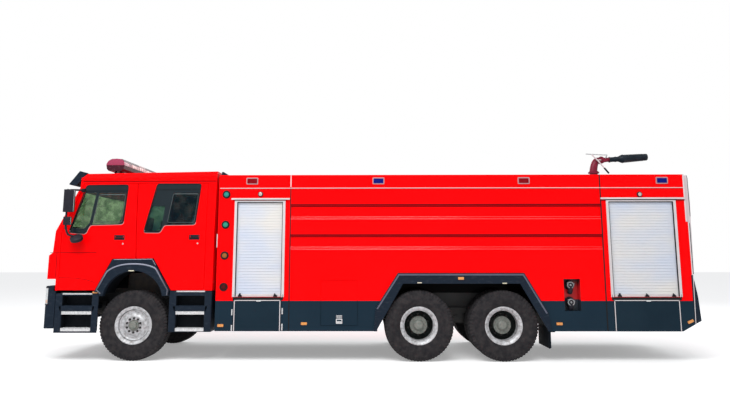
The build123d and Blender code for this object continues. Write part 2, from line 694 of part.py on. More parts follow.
for row, outline, window, handle in DOORS:
    with BuildPart() as door_left:
        add(door_skin.part)
        with BuildSketch(side(-1050)):
            door_outline(outline, window)
        extrude(amount=HALF + 50 - 1050, mode=Mode.INTERSECT)
        block(
            (handle[0] - 85, handle[0] + 85), (-HALF, -HALF + 22), (handle[1] - 38, handle[1] + 38),
            mode=Mode.SUBTRACT,
        )
        block((handle[0] - 70, handle[0] + 70), (-HALF + 4, -HALF + 23), (handle[1] - 4, handle[1] + 26))
    save(door_left, f"door_{row}l")
    with BuildPart() as door_right:
        mirror(door_left.part, about=Plane.XZ)
    save(door_right, f"door_{row}r")
    with BuildPart() as pane_left:
        add(glass_skin.part)
        with BuildSketch(side(-1050)):
            Polygon(*window, align=None)
        extrude(amount=HALF + 50 - 1050, mode=Mode.INTERSECT)
    save(pane_left, f"glass_{row}l")
    with BuildPart() as pane_right:
        mirror(pane_left.part, about=Plane.XZ)
    save(pane_right, f"glass_{row}r")

# Wheel flares of the cab, with a round arch inside a straight-edged outline
with BuildPart() as flares:
    with BuildSketch(side(-floor_half)):
        Polygon((-495, 1024), (-545, 1030), (-545, 1085), *FLARE, (481, 1024), align=None)
        with Locations((-7, FLARE_ARC_Z)):
            Circle(FLARE_ARC_R, mode=Mode.SUBTRACT)
    extrude(amount=HALF + 25 - floor_half)
    mirror(about=Plane.XZ)
save(flares, "flares")

# Sun visor across the top of the windscreen
VISOR_HALF = 1095

with BuildPart() as sun_visor:
    with BuildSketch(side(VISOR_HALF)):
        Polygon((-1071, 3080), (-1240, 2860), (-1212, 2846), (-1043, 3060), align=None)
    extrude(amount=2 * VISOR_HALF)
    for y in (30 - VISOR_HALF, VISOR_HALF):
        with BuildSketch(side(y)):
            Polygon((-1071, 3080), (-1240, 2860), (-1118, 2829), (-940, 3046), align=None)
        extrude(amount=30)
    for y in (-260, 300):
        with BuildSketch(side(y)):
            Polygon((-1060, 3064), (-1160, 2935), (-1040, 2905), (-940, 3046), align=None)
        extrude(amount=40)
    cab_form(mode=Mode.SUBTRACT)
save(sun_visor, "sun_visor")

# Light bar on two feet across the roof
BAR_HALF = 900

with BuildPart() as light_bar:
    with BuildSketch(side(BAR_HALF)):
        Polygon(
            (-714, 3207), (-700, 3142), (-672, 3110), (-450, 3106), (-412, 3142), (-398, 3207),
            (-412, 3282), (-446, 3314), (-618, 3318), (-672, 3288), align=None,
        )
    extrude(amount=2 * BAR_HALF)
    for y in (-700, 700):
        block((-630, -500), (y - 40, y + 40), (3000, 3110))
    cab_form(mode=Mode.SUBTRACT)
save(light_bar, "light_bar")

# Mirrors on the front doors: a loop of tube with the main and the wide mirror, and a round one below
with BuildPart() as mirror_l:
    block((-1000, -925), (-1275, -HALF), (1930, 2008))
    round_bar((-968, -1262, 1980), (-1062, -1404, 2004), 12)
    round_bar((-1050, -1400, 1990), (-1108, -1400, 2112), 11)
    round_bar((-1104, -1400, 2090), (-1104, -1400, 2742), 14)
    round_bar((-1104, -1400, 2728), (-934, -1212, 2742), 10)
    block((-958, -912), (-1232, -1180), (2712, 2768))
    block((-1147, -1002), (-1440, -1392), (2368, 2734))
    block((-1135, -1018), (-1430, -1388), (2158, 2290))
    round_bar((-962, -1270, 1950), (-920, -1388, 1950), 13)
    round_bar((-915, -1377, 1922), (-915, -1403, 1960), 98)
    cab_form(mode=Mode.SUBTRACT)
save(mirror_l, "mirror_l")

with BuildPart() as mirror_r:
    mirror(mirror_l.part, about=Plane.XZ)
save(mirror_r, "mirror_r")

# Dashboard with the steering column and wheel
WHEEL_TILT = 32

with BuildPart() as dashboard:
    cab_form(CAB_WALL)
    with BuildSketch(side(1150)):
        Polygon(
            (-1600, 1500), (-920, 1500), (-860, 1640), (-880, 1860), (-1080, 1960), (-1600, 2030), align=None
        )
    extrude(amount=2300, mode=Mode.INTERSECT)
    round_bar((-960, -560, 1700), (-768, -560, 1962), 28)
    hub = Plane(
        origin=(AXLE_X - 770, -560, 1955),
        z_dir=(sin(radians(WHEEL_TILT)), 0, cos(radians(WHEEL_TILT))),
    )
    with BuildSketch(hub):
        Circle(228)
        Circle(198, mode=Mode.SUBTRACT)
        Rectangle(410, 40)
    extrude(amount=24)
save(dashboard, "dashboard")

# Seats: two in front and a bench across the back
with BuildPart() as seats:
    for y in (-800, 300):
        with BuildSketch(side(y + 500)):
            Polygon(
                (-660, 1680), (-650, 1790), (-250, 1775), (-150, 2400), (-130, 2580), (-40, 2580),
                (-30, 2400), (-90, 1680), (-170, 1660), (-170, 1520), (-420, 1520), (-420, 1660), align=None,
            )
        extrude(amount=500)
    with BuildSketch(side(1050)):
        Polygon(
            (640, 1500), (640, 1620), (1040, 1610), (1090, 2400), (1207, 2400), (1207, 1151),
            (800, 1151), (760, 1500), align=None,
        )
    extrude(amount=2100)
save(seats, "seats")

# Lockers: hollow bodies over the frame, open at both sides behind the curtains and the flaps
NOTCH_Y = 560
CURTAIN_LOW = 1009
CURTAIN_TOP = 2540
CURTAIN_FRONT = (FRONT_LOCKER_X + 308, FRONT_LOCKER_X + 1060)
CURTAIN_REAR = (REAR_LOCKER_X + 123, REAR_LOCKER_X + 1175)
FLAP_FRONT = (FRONT_LOCKER_X + 291, FRONT_LOCKER_X + 1056)
FLAP_REAR = (REAR_LOCKER_X + 123, REAR_LOCKER_X + 1172)
FLAP_Z = (470, 962)
FLAP_THICKNESS = 38
FLAP_GAP = 6
LOCKER_FLOOR = 1100
LOCKER_TOP = 2840
POCKET_Y = 700
CHAMFER_START = REAR_LOCKER_X + 1191
CHAMFER_RISE = 0.54


def locker(start, length, curtain, flap):
    """The hollow body of a locker: walls, roof, floor and the lower boxes beside the frame."""
    with BuildSketch(front(start)) as section:
        Polygon(
            (-HALF, SKIRT_Z), (-NOTCH_Y, SKIRT_Z), (-NOTCH_Y, RAIL_TOP), (NOTCH_Y, RAIL_TOP),
            (NOTCH_Y, SKIRT_Z), (HALF, SKIRT_Z), (HALF, ROOF_Z), (-HALF, ROOF_Z), align=None,
        )
    extrude(section.sketch, amount=length)
    inside = (start + WALL, start + length - WALL)
    block(inside, (WALL - HALF, HALF - WALL), (LOCKER_FLOOR, LOCKER_TOP), mode=Mode.SUBTRACT)
    block(curtain, (-HALF, HALF), (CURTAIN_LOW + 100, CURTAIN_TOP), mode=Mode.SUBTRACT)
    for hand in (-1, 1):
        skin = sorted((hand * (HALF - WALL), hand * HALF))
        block(curtain, skin, (CURTAIN_LOW, CURTAIN_TOP), mode=Mode.SUBTRACT)
        leaf = sorted((hand * (HALF - FLAP_THICKNESS - SEAT_GAP), hand * HALF))
        wide = (flap[0] - FLAP_GAP, flap[1] + FLAP_GAP)
        block(wide, leaf, (SKIRT_Z - 10, FLAP_Z[1] + FLAP_GAP), mode=Mode.SUBTRACT)
        pocket = sorted((hand * POCKET_Y, hand * HALF))
        block((flap[0] + 20, flap[1] - 20), pocket, (SKIRT_Z + 25, FLAP_Z[1] - 20), mode=Mode.SUBTRACT)


with BuildPart() as front_locker:
    locker(FRONT_LOCKER_X, FRONT_LOCKER_LENGTH, CURTAIN_FRONT, FLAP_FRONT)
    block((FRONT_LOCKER_X + 40, TANK_X), (60 - HALF, HALF - 60), (DECK_Z, ROOF_Z), mode=Mode.SUBTRACT)
save(front_locker, "front_locker")

BACK_CURTAIN_HALF = 620
BACK_CURTAIN_Z = (1420, 2560)

with BuildPart() as rear_locker:
    locker(REAR_LOCKER_X, REAR_LOCKER_LENGTH, CURTAIN_REAR, FLAP_REAR)
    block((REAR_LOCKER_X, TAIL_X - 40), (60 - HALF, HALF - 60), (DECK_Z, ROOF_Z), mode=Mode.SUBTRACT)
    back_curtain = (-BACK_CURTAIN_HALF, BACK_CURTAIN_HALF)
    block((TAIL_X - WALL, TAIL_X), back_curtain, BACK_CURTAIN_Z, mode=Mode.SUBTRACT)
    with BuildSketch(side(HALF)):
        Polygon(
            (CHAMFER_START, SKIRT_Z), (REAR_END, SKIRT_Z),
            (REAR_END, SKIRT_Z + (REAR_END - CHAMFER_START) * CHAMFER_RISE), align=None,
        )
    extrude(amount=WIDTH, mode=Mode.SUBTRACT)
save(rear_locker, "rear_locker")

# Tank body: a solid block with two pressed flutes along each side, arches and low side boxes
FLUTES = ((1788, 1985), (2277, 2478))
FLUTE_DEPTH = 20
FLUTE_SLOPE = 12
ARCH_OUTER = ((-1400, SKIRT_Z), (-1372, 829), (-1008, 1388), (1020, 1388), (1386, 759), (1425, SKIRT_Z))
ARCH_INNER = ((-1343, SKIRT_Z), (-1343, 510), (-929, 1220), (950, 1220), (1366, 496), (1366, SKIRT_Z))
ARCH_CUT = ((-1385, 460), (-1385, 510), (-960, 1262), (975, 1262), (1405, 496), (1410, 460))
SIDE_SPACE = BOGIE_X + ARCH_CUT[0][0] - TANK_X
SIDE_DOOR = (TANK_X + 0.375 * SIDE_SPACE, TANK_X + 0.798 * SIDE_SPACE)
LATCH_X = (SIDE_DOOR[0] + SIDE_DOOR[1]) / 2
SIDE_DOOR_Z = (564, 1269)
SIDE_DOOR_THICKNESS = 30
HOSE_RECESS = (BOGIE_X + 1650, BOGIE_X + 1912)
HOSE_RECESS_Z = (791, 1293)
HATCH_X = WHEELBASE + 400
HATCH_R = 290

with BuildPart() as tank_body:
    right_edge = [(NOTCH_Y, RAIL_TOP), (NOTCH_Y, SKIRT_Z), (HALF, SKIRT_Z)]
    for low, high in FLUTES:
        right_edge += [
            (HALF, low),
            (HALF - FLUTE_DEPTH, low + FLUTE_SLOPE),
            (HALF - FLUTE_DEPTH, high - FLUTE_SLOPE),
            (HALF, high),
        ]
    right_edge += [(HALF, ROOF_Z), (HALF - 60, ROOF_Z), (HALF - 60, DECK_Z)]
    left_edge = [(-y, z) for y, z in reversed(right_edge)]
    with BuildSketch(front(TANK_X)):
        Polygon(*right_edge, *left_edge, align=None)
    extrude(amount=TANK_LENGTH)
    for start in (-NOTCH_Y, HALF + 1):
        with BuildSketch(side(start)):
            Polygon(*[(BOGIE_X + x, z) for x, z in ARCH_CUT], align=None)
        extrude(amount=HALF + 1 - NOTCH_Y, mode=Mode.SUBTRACT)
    recess = (SIDE_DOOR[0] - FLAP_GAP, SIDE_DOOR[1] + FLAP_GAP)
    recess_z = (SIDE_DOOR_Z[0] - FLAP_GAP, SIDE_DOOR_Z[1] + FLAP_GAP)
    block(recess, (-HALF, SIDE_DOOR_THICKNESS + SEAT_GAP - HALF), recess_z, mode=Mode.SUBTRACT)
    pocket = (SIDE_DOOR[0] + 20, SIDE_DOOR[1] - 20)
    block(pocket, (-HALF, -POCKET_Y), (SIDE_DOOR_Z[0] + 20, SIDE_DOOR_Z[1] - 20), mode=Mode.SUBTRACT)
    for low, high in ((-HALF, 150 - HALF), (HALF - 150, HALF)):
        block(HOSE_RECESS, (low, high), HOSE_RECESS_Z, mode=Mode.SUBTRACT)
    with Locations((AXLE_X + HATCH_X, 0, DECK_Z + 25)):
        Cylinder(HATCH_R - 30, 50)
save(tank_body, "tank_body")

# Tank hatch: a dished lid on the neck, hinged at one side
with BuildPart() as tank_hatch:
    with Locations((AXLE_X + HATCH_X, 0, DECK_Z + 50.3 + 14)):
        Cylinder(HATCH_R, 28)
        Cylinder(HATCH_R - 60, 44, align=(Align.CENTER, Align.CENTER, Align.MIN))
save(tank_hatch, "tank_hatch")

# Compartment door at the left side, with its paddle latch, hinged along the top
with BuildPart() as side_door:
    block(SIDE_DOOR, (-HALF, SIDE_DOOR_THICKNESS - HALF), SIDE_DOOR_Z)
    block((LATCH_X - 50, LATCH_X + 50), (-HALF, 12 - HALF), (610, 720), mode=Mode.SUBTRACT)
    block((LATCH_X - 36, LATCH_X + 36), (-HALF + 3, 13 - HALF), (622, 708))
save(side_door, "side_door")

# Trim bands round the bogie arches, and the mud flaps behind the last tyres
TRIM_PROUD = 22
MUD_FLAP_X = 1412

with BuildPart() as arch_trims:
    with BuildSketch(side(-HALF)):
        Polygon(*[(BOGIE_X + x, z) for x, z in ARCH_OUTER], align=None)
        Polygon(*[(BOGIE_X + x, z) for x, z in ARCH_INNER], align=None, mode=Mode.SUBTRACT)
    extrude(amount=TRIM_PROUD)
    block((BOGIE_X + MUD_FLAP_X - 12, BOGIE_X + MUD_FLAP_X), (-1240, -930), (212, SKIRT_Z))
    block(
        (BOGIE_X + MUD_FLAP_X - 12, BOGIE_X + MUD_FLAP_X + 70), (-1240, -930), (SKIRT_Z - 15, SKIRT_Z)
    )
    mirror(about=Plane.XZ)
save(arch_trims, "arch_trims")

# Roller curtains of slats, at both sides of each locker and at the back
SLAT_PITCH = 44
CURTAIN_OUT = 18
CURTAIN_THICKNESS = 16


def slatted(low, high):
    """Section across the slats: a flat back, and a front with a groove at every joint."""
    count = int((high - low) / SLAT_PITCH)
    pitch = (high - low) / count
    edge = [(CURTAIN_THICKNESS, low), (0, low)]
    for number in range(1, count):
        joint = low + number * pitch
        edge += [(0, joint - 5), (5, joint), (0, joint + 1)]
    edge += [(0, high), (CURTAIN_THICKNESS, high)]
    Polygon(*edge, align=None)


with BuildPart() as shutters:
    for left, right in (CURTAIN_FRONT, CURTAIN_REAR):
        across = Plane(
            origin=(AXLE_X + left, CURTAIN_OUT - HALF, 0), x_dir=(0, 1, 0), z_dir=(1, 0, 0)
        )
        with BuildSketch(across):
            slatted(CURTAIN_LOW, CURTAIN_TOP)
        extrude(amount=right - left)
    mirror(about=Plane.XZ)
    back = Plane(
        origin=(AXLE_X + TAIL_X - CURTAIN_OUT, -BACK_CURTAIN_HALF, 0), x_dir=(-1, 0, 0), z_dir=(0, 1, 0)
    )
    with BuildSketch(back):
        slatted(*BACK_CURTAIN_Z)
    extrude(amount=2 * BACK_CURTAIN_HALF)
save(shutters, "shutters")

# Bright rails round the curtains, and a drip rail over each
RAIL_FACE = 40
RAIL_PROUD = 12

with BuildPart() as shutter_rails:
    for left, right in (CURTAIN_FRONT, CURTAIN_REAR):
        with BuildSketch(side(-HALF)):
            with Locations(((left + right) / 2, (CURTAIN_LOW + CURTAIN_TOP + RAIL_FACE / 2) / 2)):
                Rectangle(right - left + 2 * RAIL_FACE, CURTAIN_TOP - CURTAIN_LOW + RAIL_FACE / 2)
            with Locations(((left + right) / 2, (CURTAIN_LOW + CURTAIN_TOP) / 2 - 1)):
                Rectangle(right - left, CURTAIN_TOP - CURTAIN_LOW + 2, mode=Mode.SUBTRACT)
        extrude(amount=RAIL_PROUD)
        block((left - 93, right + 112), (-HALF - 34, -HALF), (2576, 2600))
    mirror(about=Plane.XZ)
save(shutter_rails, "shutter_rails")

# Fold-down flaps under the curtains, each a standing board when it is down
for row, flap in (("f", FLAP_FRONT), ("r", FLAP_REAR)):
    with BuildPart() as flap_left:
        block(flap, (-HALF, FLAP_THICKNESS - HALF), (FLAP_Z[0] + 4, FLAP_Z[1]))
        if row == "r":
            with BuildSketch(side(HALF)):
                Polygon(
                    (CHAMFER_START - 40, SKIRT_Z - 20), (REAR_END, SKIRT_Z - 20), (REAR_END, 660), align=None
                )
            extrude(amount=WIDTH, mode=Mode.SUBTRACT)
    save(flap_left, f"flap_{row}l")
    with BuildPart() as flap_right:
        mirror(flap_left.part, about=Plane.XZ)
    save(flap_right, f"flap_{row}r")

# Tail panel below the back curtain, with the towing clevis
CLEVIS_X = TAIL_X + 65
CLEVIS_R = 20

with BuildPart() as rear_bumper:
    with BuildSketch(side(HALF - 15)):
        Polygon(
            (TAIL_X, 1355), (TAIL_X + 38, 1355), (TAIL_X + 92, 1025), (REAR_END, 636),
            (TAIL_X, SKIRT_Z + (TAIL_X - CHAMFER_START) * CHAMFER_RISE), align=None,
        )
    extrude(amount=WIDTH - 30)
    block((TAIL_X, REAR_END + 1), (-130, 130), (500, 830), mode=Mode.SUBTRACT)
    for low in (640, 735):
        with BuildSketch(plan(low)):
            with Locations((TAIL_X + 32.5, 0)):
                Rectangle(65, 120)
            with Locations((CLEVIS_X, 0)):
                Circle(50)
                Circle(CLEVIS_R, mode=Mode.SUBTRACT)
        extrude(amount=25)
    block((TAIL_X, TAIL_X + 12), (-131, 131), (600, 831))
save(rear_bumper, "rear_bumper")

# Ladder at the left of the back: two stringers with a curved top plate, and round rungs
LADDER_Y = (-1180, -740)

with BuildPart() as ladder:
    for y in LADDER_Y:
        with BuildSketch(side(y + 15)):
            with BuildLine():
                Polyline((TAIL_X + 44, 1362), (TAIL_X + 74, 1362), (TAIL_X + 90, 2220))
                ThreePointArc((TAIL_X + 90, 2220), (TAIL_X + 98, 2640), (TAIL_X + 76, ROOF_Z - 6))
                Polyline(
                    (TAIL_X + 76, ROOF_Z - 6), (TAIL_X, ROOF_Z - 6), (TAIL_X, 2230), (TAIL_X + 56, 2200),
                    (TAIL_X + 44, 1362),
                )
            make_face()
        extrude(amount=30)
        block((TAIL_X, TAIL_X + 50), (y - 15, y + 15), (1400, 1440))
    for number in range(5):
        height = 1480 + number * 280
        round_bar((TAIL_X + 58, LADDER_Y[0], height), (TAIL_X + 58, LADDER_Y[1], height), 13)
save(ladder, "ladder")

# Hose couplings in the recess at each side
COUPLINGS = ((HOSE_RECESS[0] + 120, 1195, 62), (HOSE_RECESS[0] + 118, 923, 62))

with BuildPart() as hose_couplings:
    for x, z, radius in COUPLINGS:
        round_bar((x, 150 - HALF, z), (x, 128 - HALF, z), radius + 22)
        round_bar((x, 150 - HALF, z), (x, 60 - HALF, z), radius - 12)
        round_bar((x, 92 - HALF, z), (x, 40 - HALF, z), radius)
    mirror(about=Plane.XZ)
save(hose_couplings, "hose_couplings")

# Lamps: warning lamps, markers, work lamps, level lamps, headlamps and tail lamps
WARNING_LAMPS = (FRONT_LOCKER_X + 546, WHEELBASE - 642, WHEELBASE + 1745, REAR_LOCKER_X + 1016)
WARNING_LAMP_Z = (ROOF_Z - 155, ROOF_Z - 45)
MARKERS = (
    (FRONT_LOCKER_X + 95, 563), (TANK_X + 245, 593), (WHEELBASE + 2228, 592), (TAIL_X - 60, 640),
)
WORK_LAMPS = ((FRONT_LOCKER_X + 687, 2667), (REAR_LOCKER_X + 638, 2656))
LEVEL_LAMP_X = FRONT_LOCKER_X + 125
LEVEL_LAMPS = (2663, 2167, 1669, 1167)
TAIL_LAMPS = (1100, 1200)

with BuildPart() as lamps:
    for x in WARNING_LAMPS:
        block((x - 95, x + 95), (-HALF - 26, -HALF), WARNING_LAMP_Z)
    for x, z in MARKERS:
        block((x - 50, x + 50), (-HALF - 14, -HALF), (z - 24, z + 24))
    for x, z in WORK_LAMPS:
        block((x - 70, x + 70), (-HALF - 30, -HALF), (z - 40, z + 40))
    for z in LEVEL_LAMPS:
        round_bar((LEVEL_LAMP_X, -HALF, z), (LEVEL_LAMP_X, -HALF - 16, z), 64)
    block((LAMP_BACK_X - 32, LAMP_BACK_X), (-LAMP_Y[1] + 4, -LAMP_Y[0] - 4), (LAMP_Z[0] + 4, LAMP_Z[1] - 4))
    for z in TAIL_LAMPS:
        block((TAIL_X + 40, TAIL_X + 92), (-1150, -1000), (z, z + 80))
    mirror(about=Plane.XZ)
    add(rear_bumper.part, mode=Mode.SUBTRACT)
save(lamps, "lamps")

# Wedge on the front locker's roof, behind the cab
with BuildPart() as roof_fairing:
    with BuildSketch(side(1100)):
        Polygon(
            (FRONT_LOCKER_X, ROOF_Z), (FRONT_LOCKER_X, 3056), (FRONT_LOCKER_X + 25, 3060),
            (FRONT_LOCKER_X + 260, DECK_Z), (FRONT_LOCKER_X + 40, DECK_Z), (FRONT_LOCKER_X + 40, ROOF_Z),
            align=None,
        )
    extrude(amount=2200)
save(roof_fairing, "roof_fairing")

# Roof monitor: a standpipe, an elbow that swivels on it, and a barrel that lifts
MONITOR_X = REAR_LOCKER_X + 353
SWIVEL_Z = 3190
LIFT_X = MONITOR_X + 137
LIFT_Z = 3410
PIPE_R = 72
BEND_R = 80
BARREL_SLOPE = 4

with BuildPart() as monitor_base:
    round_bar((MONITOR_X, 0, DECK_Z), (MONITOR_X, 0, DECK_Z + 22), 150)
    round_bar((MONITOR_X, 0, DECK_Z + 20), (MONITOR_X, 0, SWIVEL_Z), PIPE_R)
    round_bar((MONITOR_X, 0, SWIVEL_Z - 24), (MONITOR_X, 0, SWIVEL_Z), 98)
save(monitor_base, "monitor_base")

with BuildPart() as monitor_elbow:
    round_bar((MONITOR_X, 0, SWIVEL_Z + 0.3), (MONITOR_X, 0, SWIVEL_Z + 24), 98)
    with BuildLine() as pipe_path:
        bend_start = (AXLE_X + MONITOR_X, 0, LIFT_Z - BEND_R)
        Line((AXLE_X + MONITOR_X, 0, SWIVEL_Z + 10), bend_start)
        TangentArc(bend_start, (AXLE_X + MONITOR_X + BEND_R, 0, LIFT_Z), tangent=(0, 0, 1))
    with BuildSketch(Plane(origin=(AXLE_X + MONITOR_X, 0, SWIVEL_Z + 10), z_dir=(0, 0, 1))):
        Circle(PIPE_R)
    sweep(path=pipe_path.wires()[0])
    with BuildSketch(side(42)):
        with Locations((LIFT_X, LIFT_Z)):
            Circle(74)
        with Locations((LIFT_X - 35, LIFT_Z)):
            Rectangle(60, 120)
    extrude(amount=84)
    round_bar((LIFT_X, -60, LIFT_Z), (LIFT_X, 60, LIFT_Z), 20 + RUNNING_FIT, mode=Mode.SUBTRACT)
save(monitor_elbow, "monitor_elbow")

with BuildPart() as monitor_barrel:
    slope = radians(BARREL_SLOPE)
    along = Plane(origin=(AXLE_X + LIFT_X, 0, LIFT_Z), x_dir=(cos(slope), 0, sin(slope)), z_dir=(0, -1, 0))
    with BuildSketch(along):
        Polygon(
            (88, 0), (88, 42), (155, 42), (155, 52), (290, 50), (345, 54), (385, 74), (415, 80),
            (850, 58), (860, 0), align=None,
        )
    revolve(axis=Axis((AXLE_X + LIFT_X, 0, LIFT_Z), (cos(slope), 0, sin(slope))))
    for start in (62, -46):
        with BuildSketch(side(start)):
            with Locations((LIFT_X, LIFT_Z)):
                Circle(52)
            with Locations((LIFT_X + 60, LIFT_Z + 4)):
                Rectangle(110, 80)
        extrude(amount=16)
    block((LIFT_X + 84, LIFT_X + 115), (-62, 62), (LIFT_Z - 34, LIFT_Z + 44))
    round_bar((LIFT_X, -62, LIFT_Z), (LIFT_X, 62, LIFT_Z), 20)
    round_bar((MONITOR_X - 26, -98, 3502), (MONITOR_X + 253, -98, 3155), 10)
    round_bar((MONITOR_X + 176, -98, 3251), (MONITOR_X + 253, -98, 3155), 17)
    round_bar((MONITOR_X + 57, -98, 3399), (LIFT_X, -62, LIFT_Z), 11)
    round_bar((MONITOR_X - 134, -98, 3516), (MONITOR_X + 250, -98, 3494), 8)
    round_bar((MONITOR_X + 232, -98, 3500), (MONITOR_X + 232, -58, LIFT_Z + 30), 9)
save(monitor_barrel, "monitor_barrel")
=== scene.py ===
import bmesh
import bpy
from math import atan2, cos, pi, radians, sin, sqrt, tan
from mathutils import Matrix, Vector, noise


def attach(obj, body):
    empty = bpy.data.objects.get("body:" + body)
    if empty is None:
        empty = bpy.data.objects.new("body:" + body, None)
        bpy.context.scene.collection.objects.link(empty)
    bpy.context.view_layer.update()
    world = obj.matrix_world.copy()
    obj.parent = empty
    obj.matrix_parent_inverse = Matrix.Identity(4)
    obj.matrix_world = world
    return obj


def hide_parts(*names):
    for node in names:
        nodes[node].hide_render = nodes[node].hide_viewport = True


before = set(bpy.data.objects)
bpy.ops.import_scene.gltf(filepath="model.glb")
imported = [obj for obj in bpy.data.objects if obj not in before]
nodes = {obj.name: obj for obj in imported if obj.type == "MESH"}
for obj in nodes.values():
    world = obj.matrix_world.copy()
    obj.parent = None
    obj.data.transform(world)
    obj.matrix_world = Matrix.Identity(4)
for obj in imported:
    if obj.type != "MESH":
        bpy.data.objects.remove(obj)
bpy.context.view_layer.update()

# Camera. It stands level with the doors, square to the left side and a little ahead of the middle,
# and looks slightly up, so the roof and the floor under the truck aren't seen.
camera = bpy.data.objects.new("camera", bpy.data.cameras.new("camera"))
camera.data.sensor_width = 36
camera.data.lens = 31.27
camera.data.shift_y = -0.0589
camera.location = (0.046, -11.643, 1.638)
camera.rotation_euler = (radians(90 + 8.73), radians(0.03), radians(0.58))
bpy.context.scene.collection.objects.link(camera)
bpy.context.scene.camera = camera
bpy.context.scene.view_settings.view_transform = "Standard"


# Studio. A pale floor under an even white sky, one broad soft lamp over the camera's side and a
# weaker one behind, so that flutes and door edges read as on an overcast day.
class Wire:
    """An output of a shader node. Python's operators on it add Math nodes."""

    def __init__(self, finish, socket):
        self.finish = finish
        self.socket = socket

    def math(self, operation, other=0.0, third=0.0, swap=False):
        first, second = (other, self) if swap else (self, other)
        return self.finish.node("ShaderNodeMath", {"operation": operation}, {0: first, 1: second, 2: third})

    def __add__(self, other):
        return self.math("ADD", other)

    def __sub__(self, other):
        return self.math("SUBTRACT", other)

    def __mul__(self, other):
        return self.math("MULTIPLY", other)

    def __truediv__(self, other):
        return self.math("DIVIDE", other)

    def __pow__(self, other):
        return self.math("POWER", other)

    def __rsub__(self, other):
        return self.math("SUBTRACT", other, swap=True)

    def __rtruediv__(self, other):
        return self.math("DIVIDE", other, swap=True)

    def __gt__(self, other):
        return self.math("GREATER_THAN", other)

    def __lt__(self, other):
        return self.math("LESS_THAN", other)

    def __mod__(self, other):
        return self.math("FLOORED_MODULO", other)

    def __abs__(self):
        return self.math("ABSOLUTE")

    __radd__ = __add__
    __rmul__ = __mul__

    def ramp(self, low, high):
        """0 at the low value, 1 at the high one, straight between them."""
        settings = {"clamp": True}
        return self.finish.node("ShaderNodeMapRange", settings, {0: self, 1: low, 2: high})


class Finish:
    """A surface material: a shader and the nodes that vary it over the surface."""

    def __init__(self, name):
        self.material = bpy.data.materials.new(name)
        self.material.use_nodes = True
        self.tree = self.material.node_tree
        self.shader = self.tree.nodes["Principled BSDF"]

    def node(self, kind, settings=None, sockets=None, output=0):
        made = self.tree.nodes.new(kind)
        for key, value in (settings or {}).items():
            if key == "stops":
                while len(made.color_ramp.elements) < len(value):
                    made.color_ramp.elements.new(1.0)
                for element, (position, colour) in zip(made.color_ramp.elements, value):
                    element.position = position
                    element.color = (*colour, 1)
            else:
                setattr(made, key, value)
        for key, value in (sockets or {}).items():
            self.feed(made.inputs[key], value)
        return Wire(self, made.outputs[output])

    def feed(self, socket, value):
        if isinstance(value, Wire):
            self.tree.links.new(value.socket, socket)
        elif isinstance(value, (tuple, list)) and len(value) == 3 and socket.type == "RGBA":
            socket.default_value = (*value, 1)
        else:
            socket.default_value = value

    def set(self, **sockets):
        """Sets the shader's sockets, written with underscores for spaces."""
        for key, value in sockets.items():
            self.feed(self.shader.inputs[key.replace("_", " ")], value)
        return self

    def place(self):
        """Where the point is, in the truck's own metres."""
        return self.node("ShaderNodeTexCoord", output="Object")

    def axis(self, letter):
        return self.node("ShaderNodeSeparateXYZ", {}, {0: self.place()}, output=letter)

    def stretched(self, scale):
        return self.node("ShaderNodeMapping", {}, {"Vector": self.place(), "Scale": scale})

    def cloud(self, scale, detail=3.0, stretch=(1, 1, 1), roughness=0.55):
        """Soft noise from 0 to 1, with the scale in waves a metre."""
        sockets = {"Vector": self.stretched(stretch), "Scale": scale, "Detail": detail, "Roughness": roughness}
        return self.node("ShaderNodeTexNoise", {}, sockets)

    def blend(self, factor, first, second):
        """From the first colour at 0 to the second at 1."""
        made = self.tree.nodes.new("ShaderNodeMix")
        made.data_type = "RGBA"
        self.feed(made.inputs[0], factor)
        self.feed(made.inputs[6], first)
        self.feed(made.inputs[7], second)
        return Wire(self, made.outputs[2])

    def bump(self, height, distance=0.001, strength=1.0):
        sockets = {"Height": height, "Distance": distance, "Strength": strength}
        return self.set(Normal=self.node("ShaderNodeBump", {}, sockets))

    def on(self, *names):
        """Gives this finish to CAD nodes."""
        for name in names:
            for slot in nodes[name].material_slots:
                slot.material = self.material
        return self


def mottled(name, cloud, first, second, grain, depth, ramp=None, **sockets):
    """A finish whose colour drifts between two over soft noise, with a fine grain pressed in."""
    made = Finish(name)
    drift = made.cloud(*cloud)
    made.set(Base_Color=made.blend(drift.ramp(*ramp) if ramp else drift, first, second), **sockets)
    made.bump(made.cloud(*grain), depth)
    return made


floor_finish = Finish("studio_floor")
floor_finish.set(
    Base_Color=floor_finish.blend(floor_finish.cloud(0.7), (0.90, 0.90, 0.90), (0.94, 0.94, 0.94)),
    Roughness=0.9,
    Specular_IOR_Level=0.0,
)
floor_rays = floor_finish.node("ShaderNodeLightPath")
floor_seen = (floor_rays + floor_finish.node("ShaderNodeLightPath", output=3)).ramp(0.0, 1.0)
floor_finish.set(
    Emission_Color=floor_finish.blend(floor_seen, (0, 0, 0), (0.30, 0.30, 0.30)),
    Emission_Strength=1.0,
)
floor_mesh = bmesh.new()
bmesh.ops.create_grid(floor_mesh, x_segments=8, y_segments=8, size=60)
floor_data = bpy.data.meshes.new("floor")
floor_mesh.to_mesh(floor_data)
floor_data.materials.append(floor_finish.material)
floor = bpy.data.objects.new("floor", floor_data)
bpy.context.scene.collection.objects.link(floor)

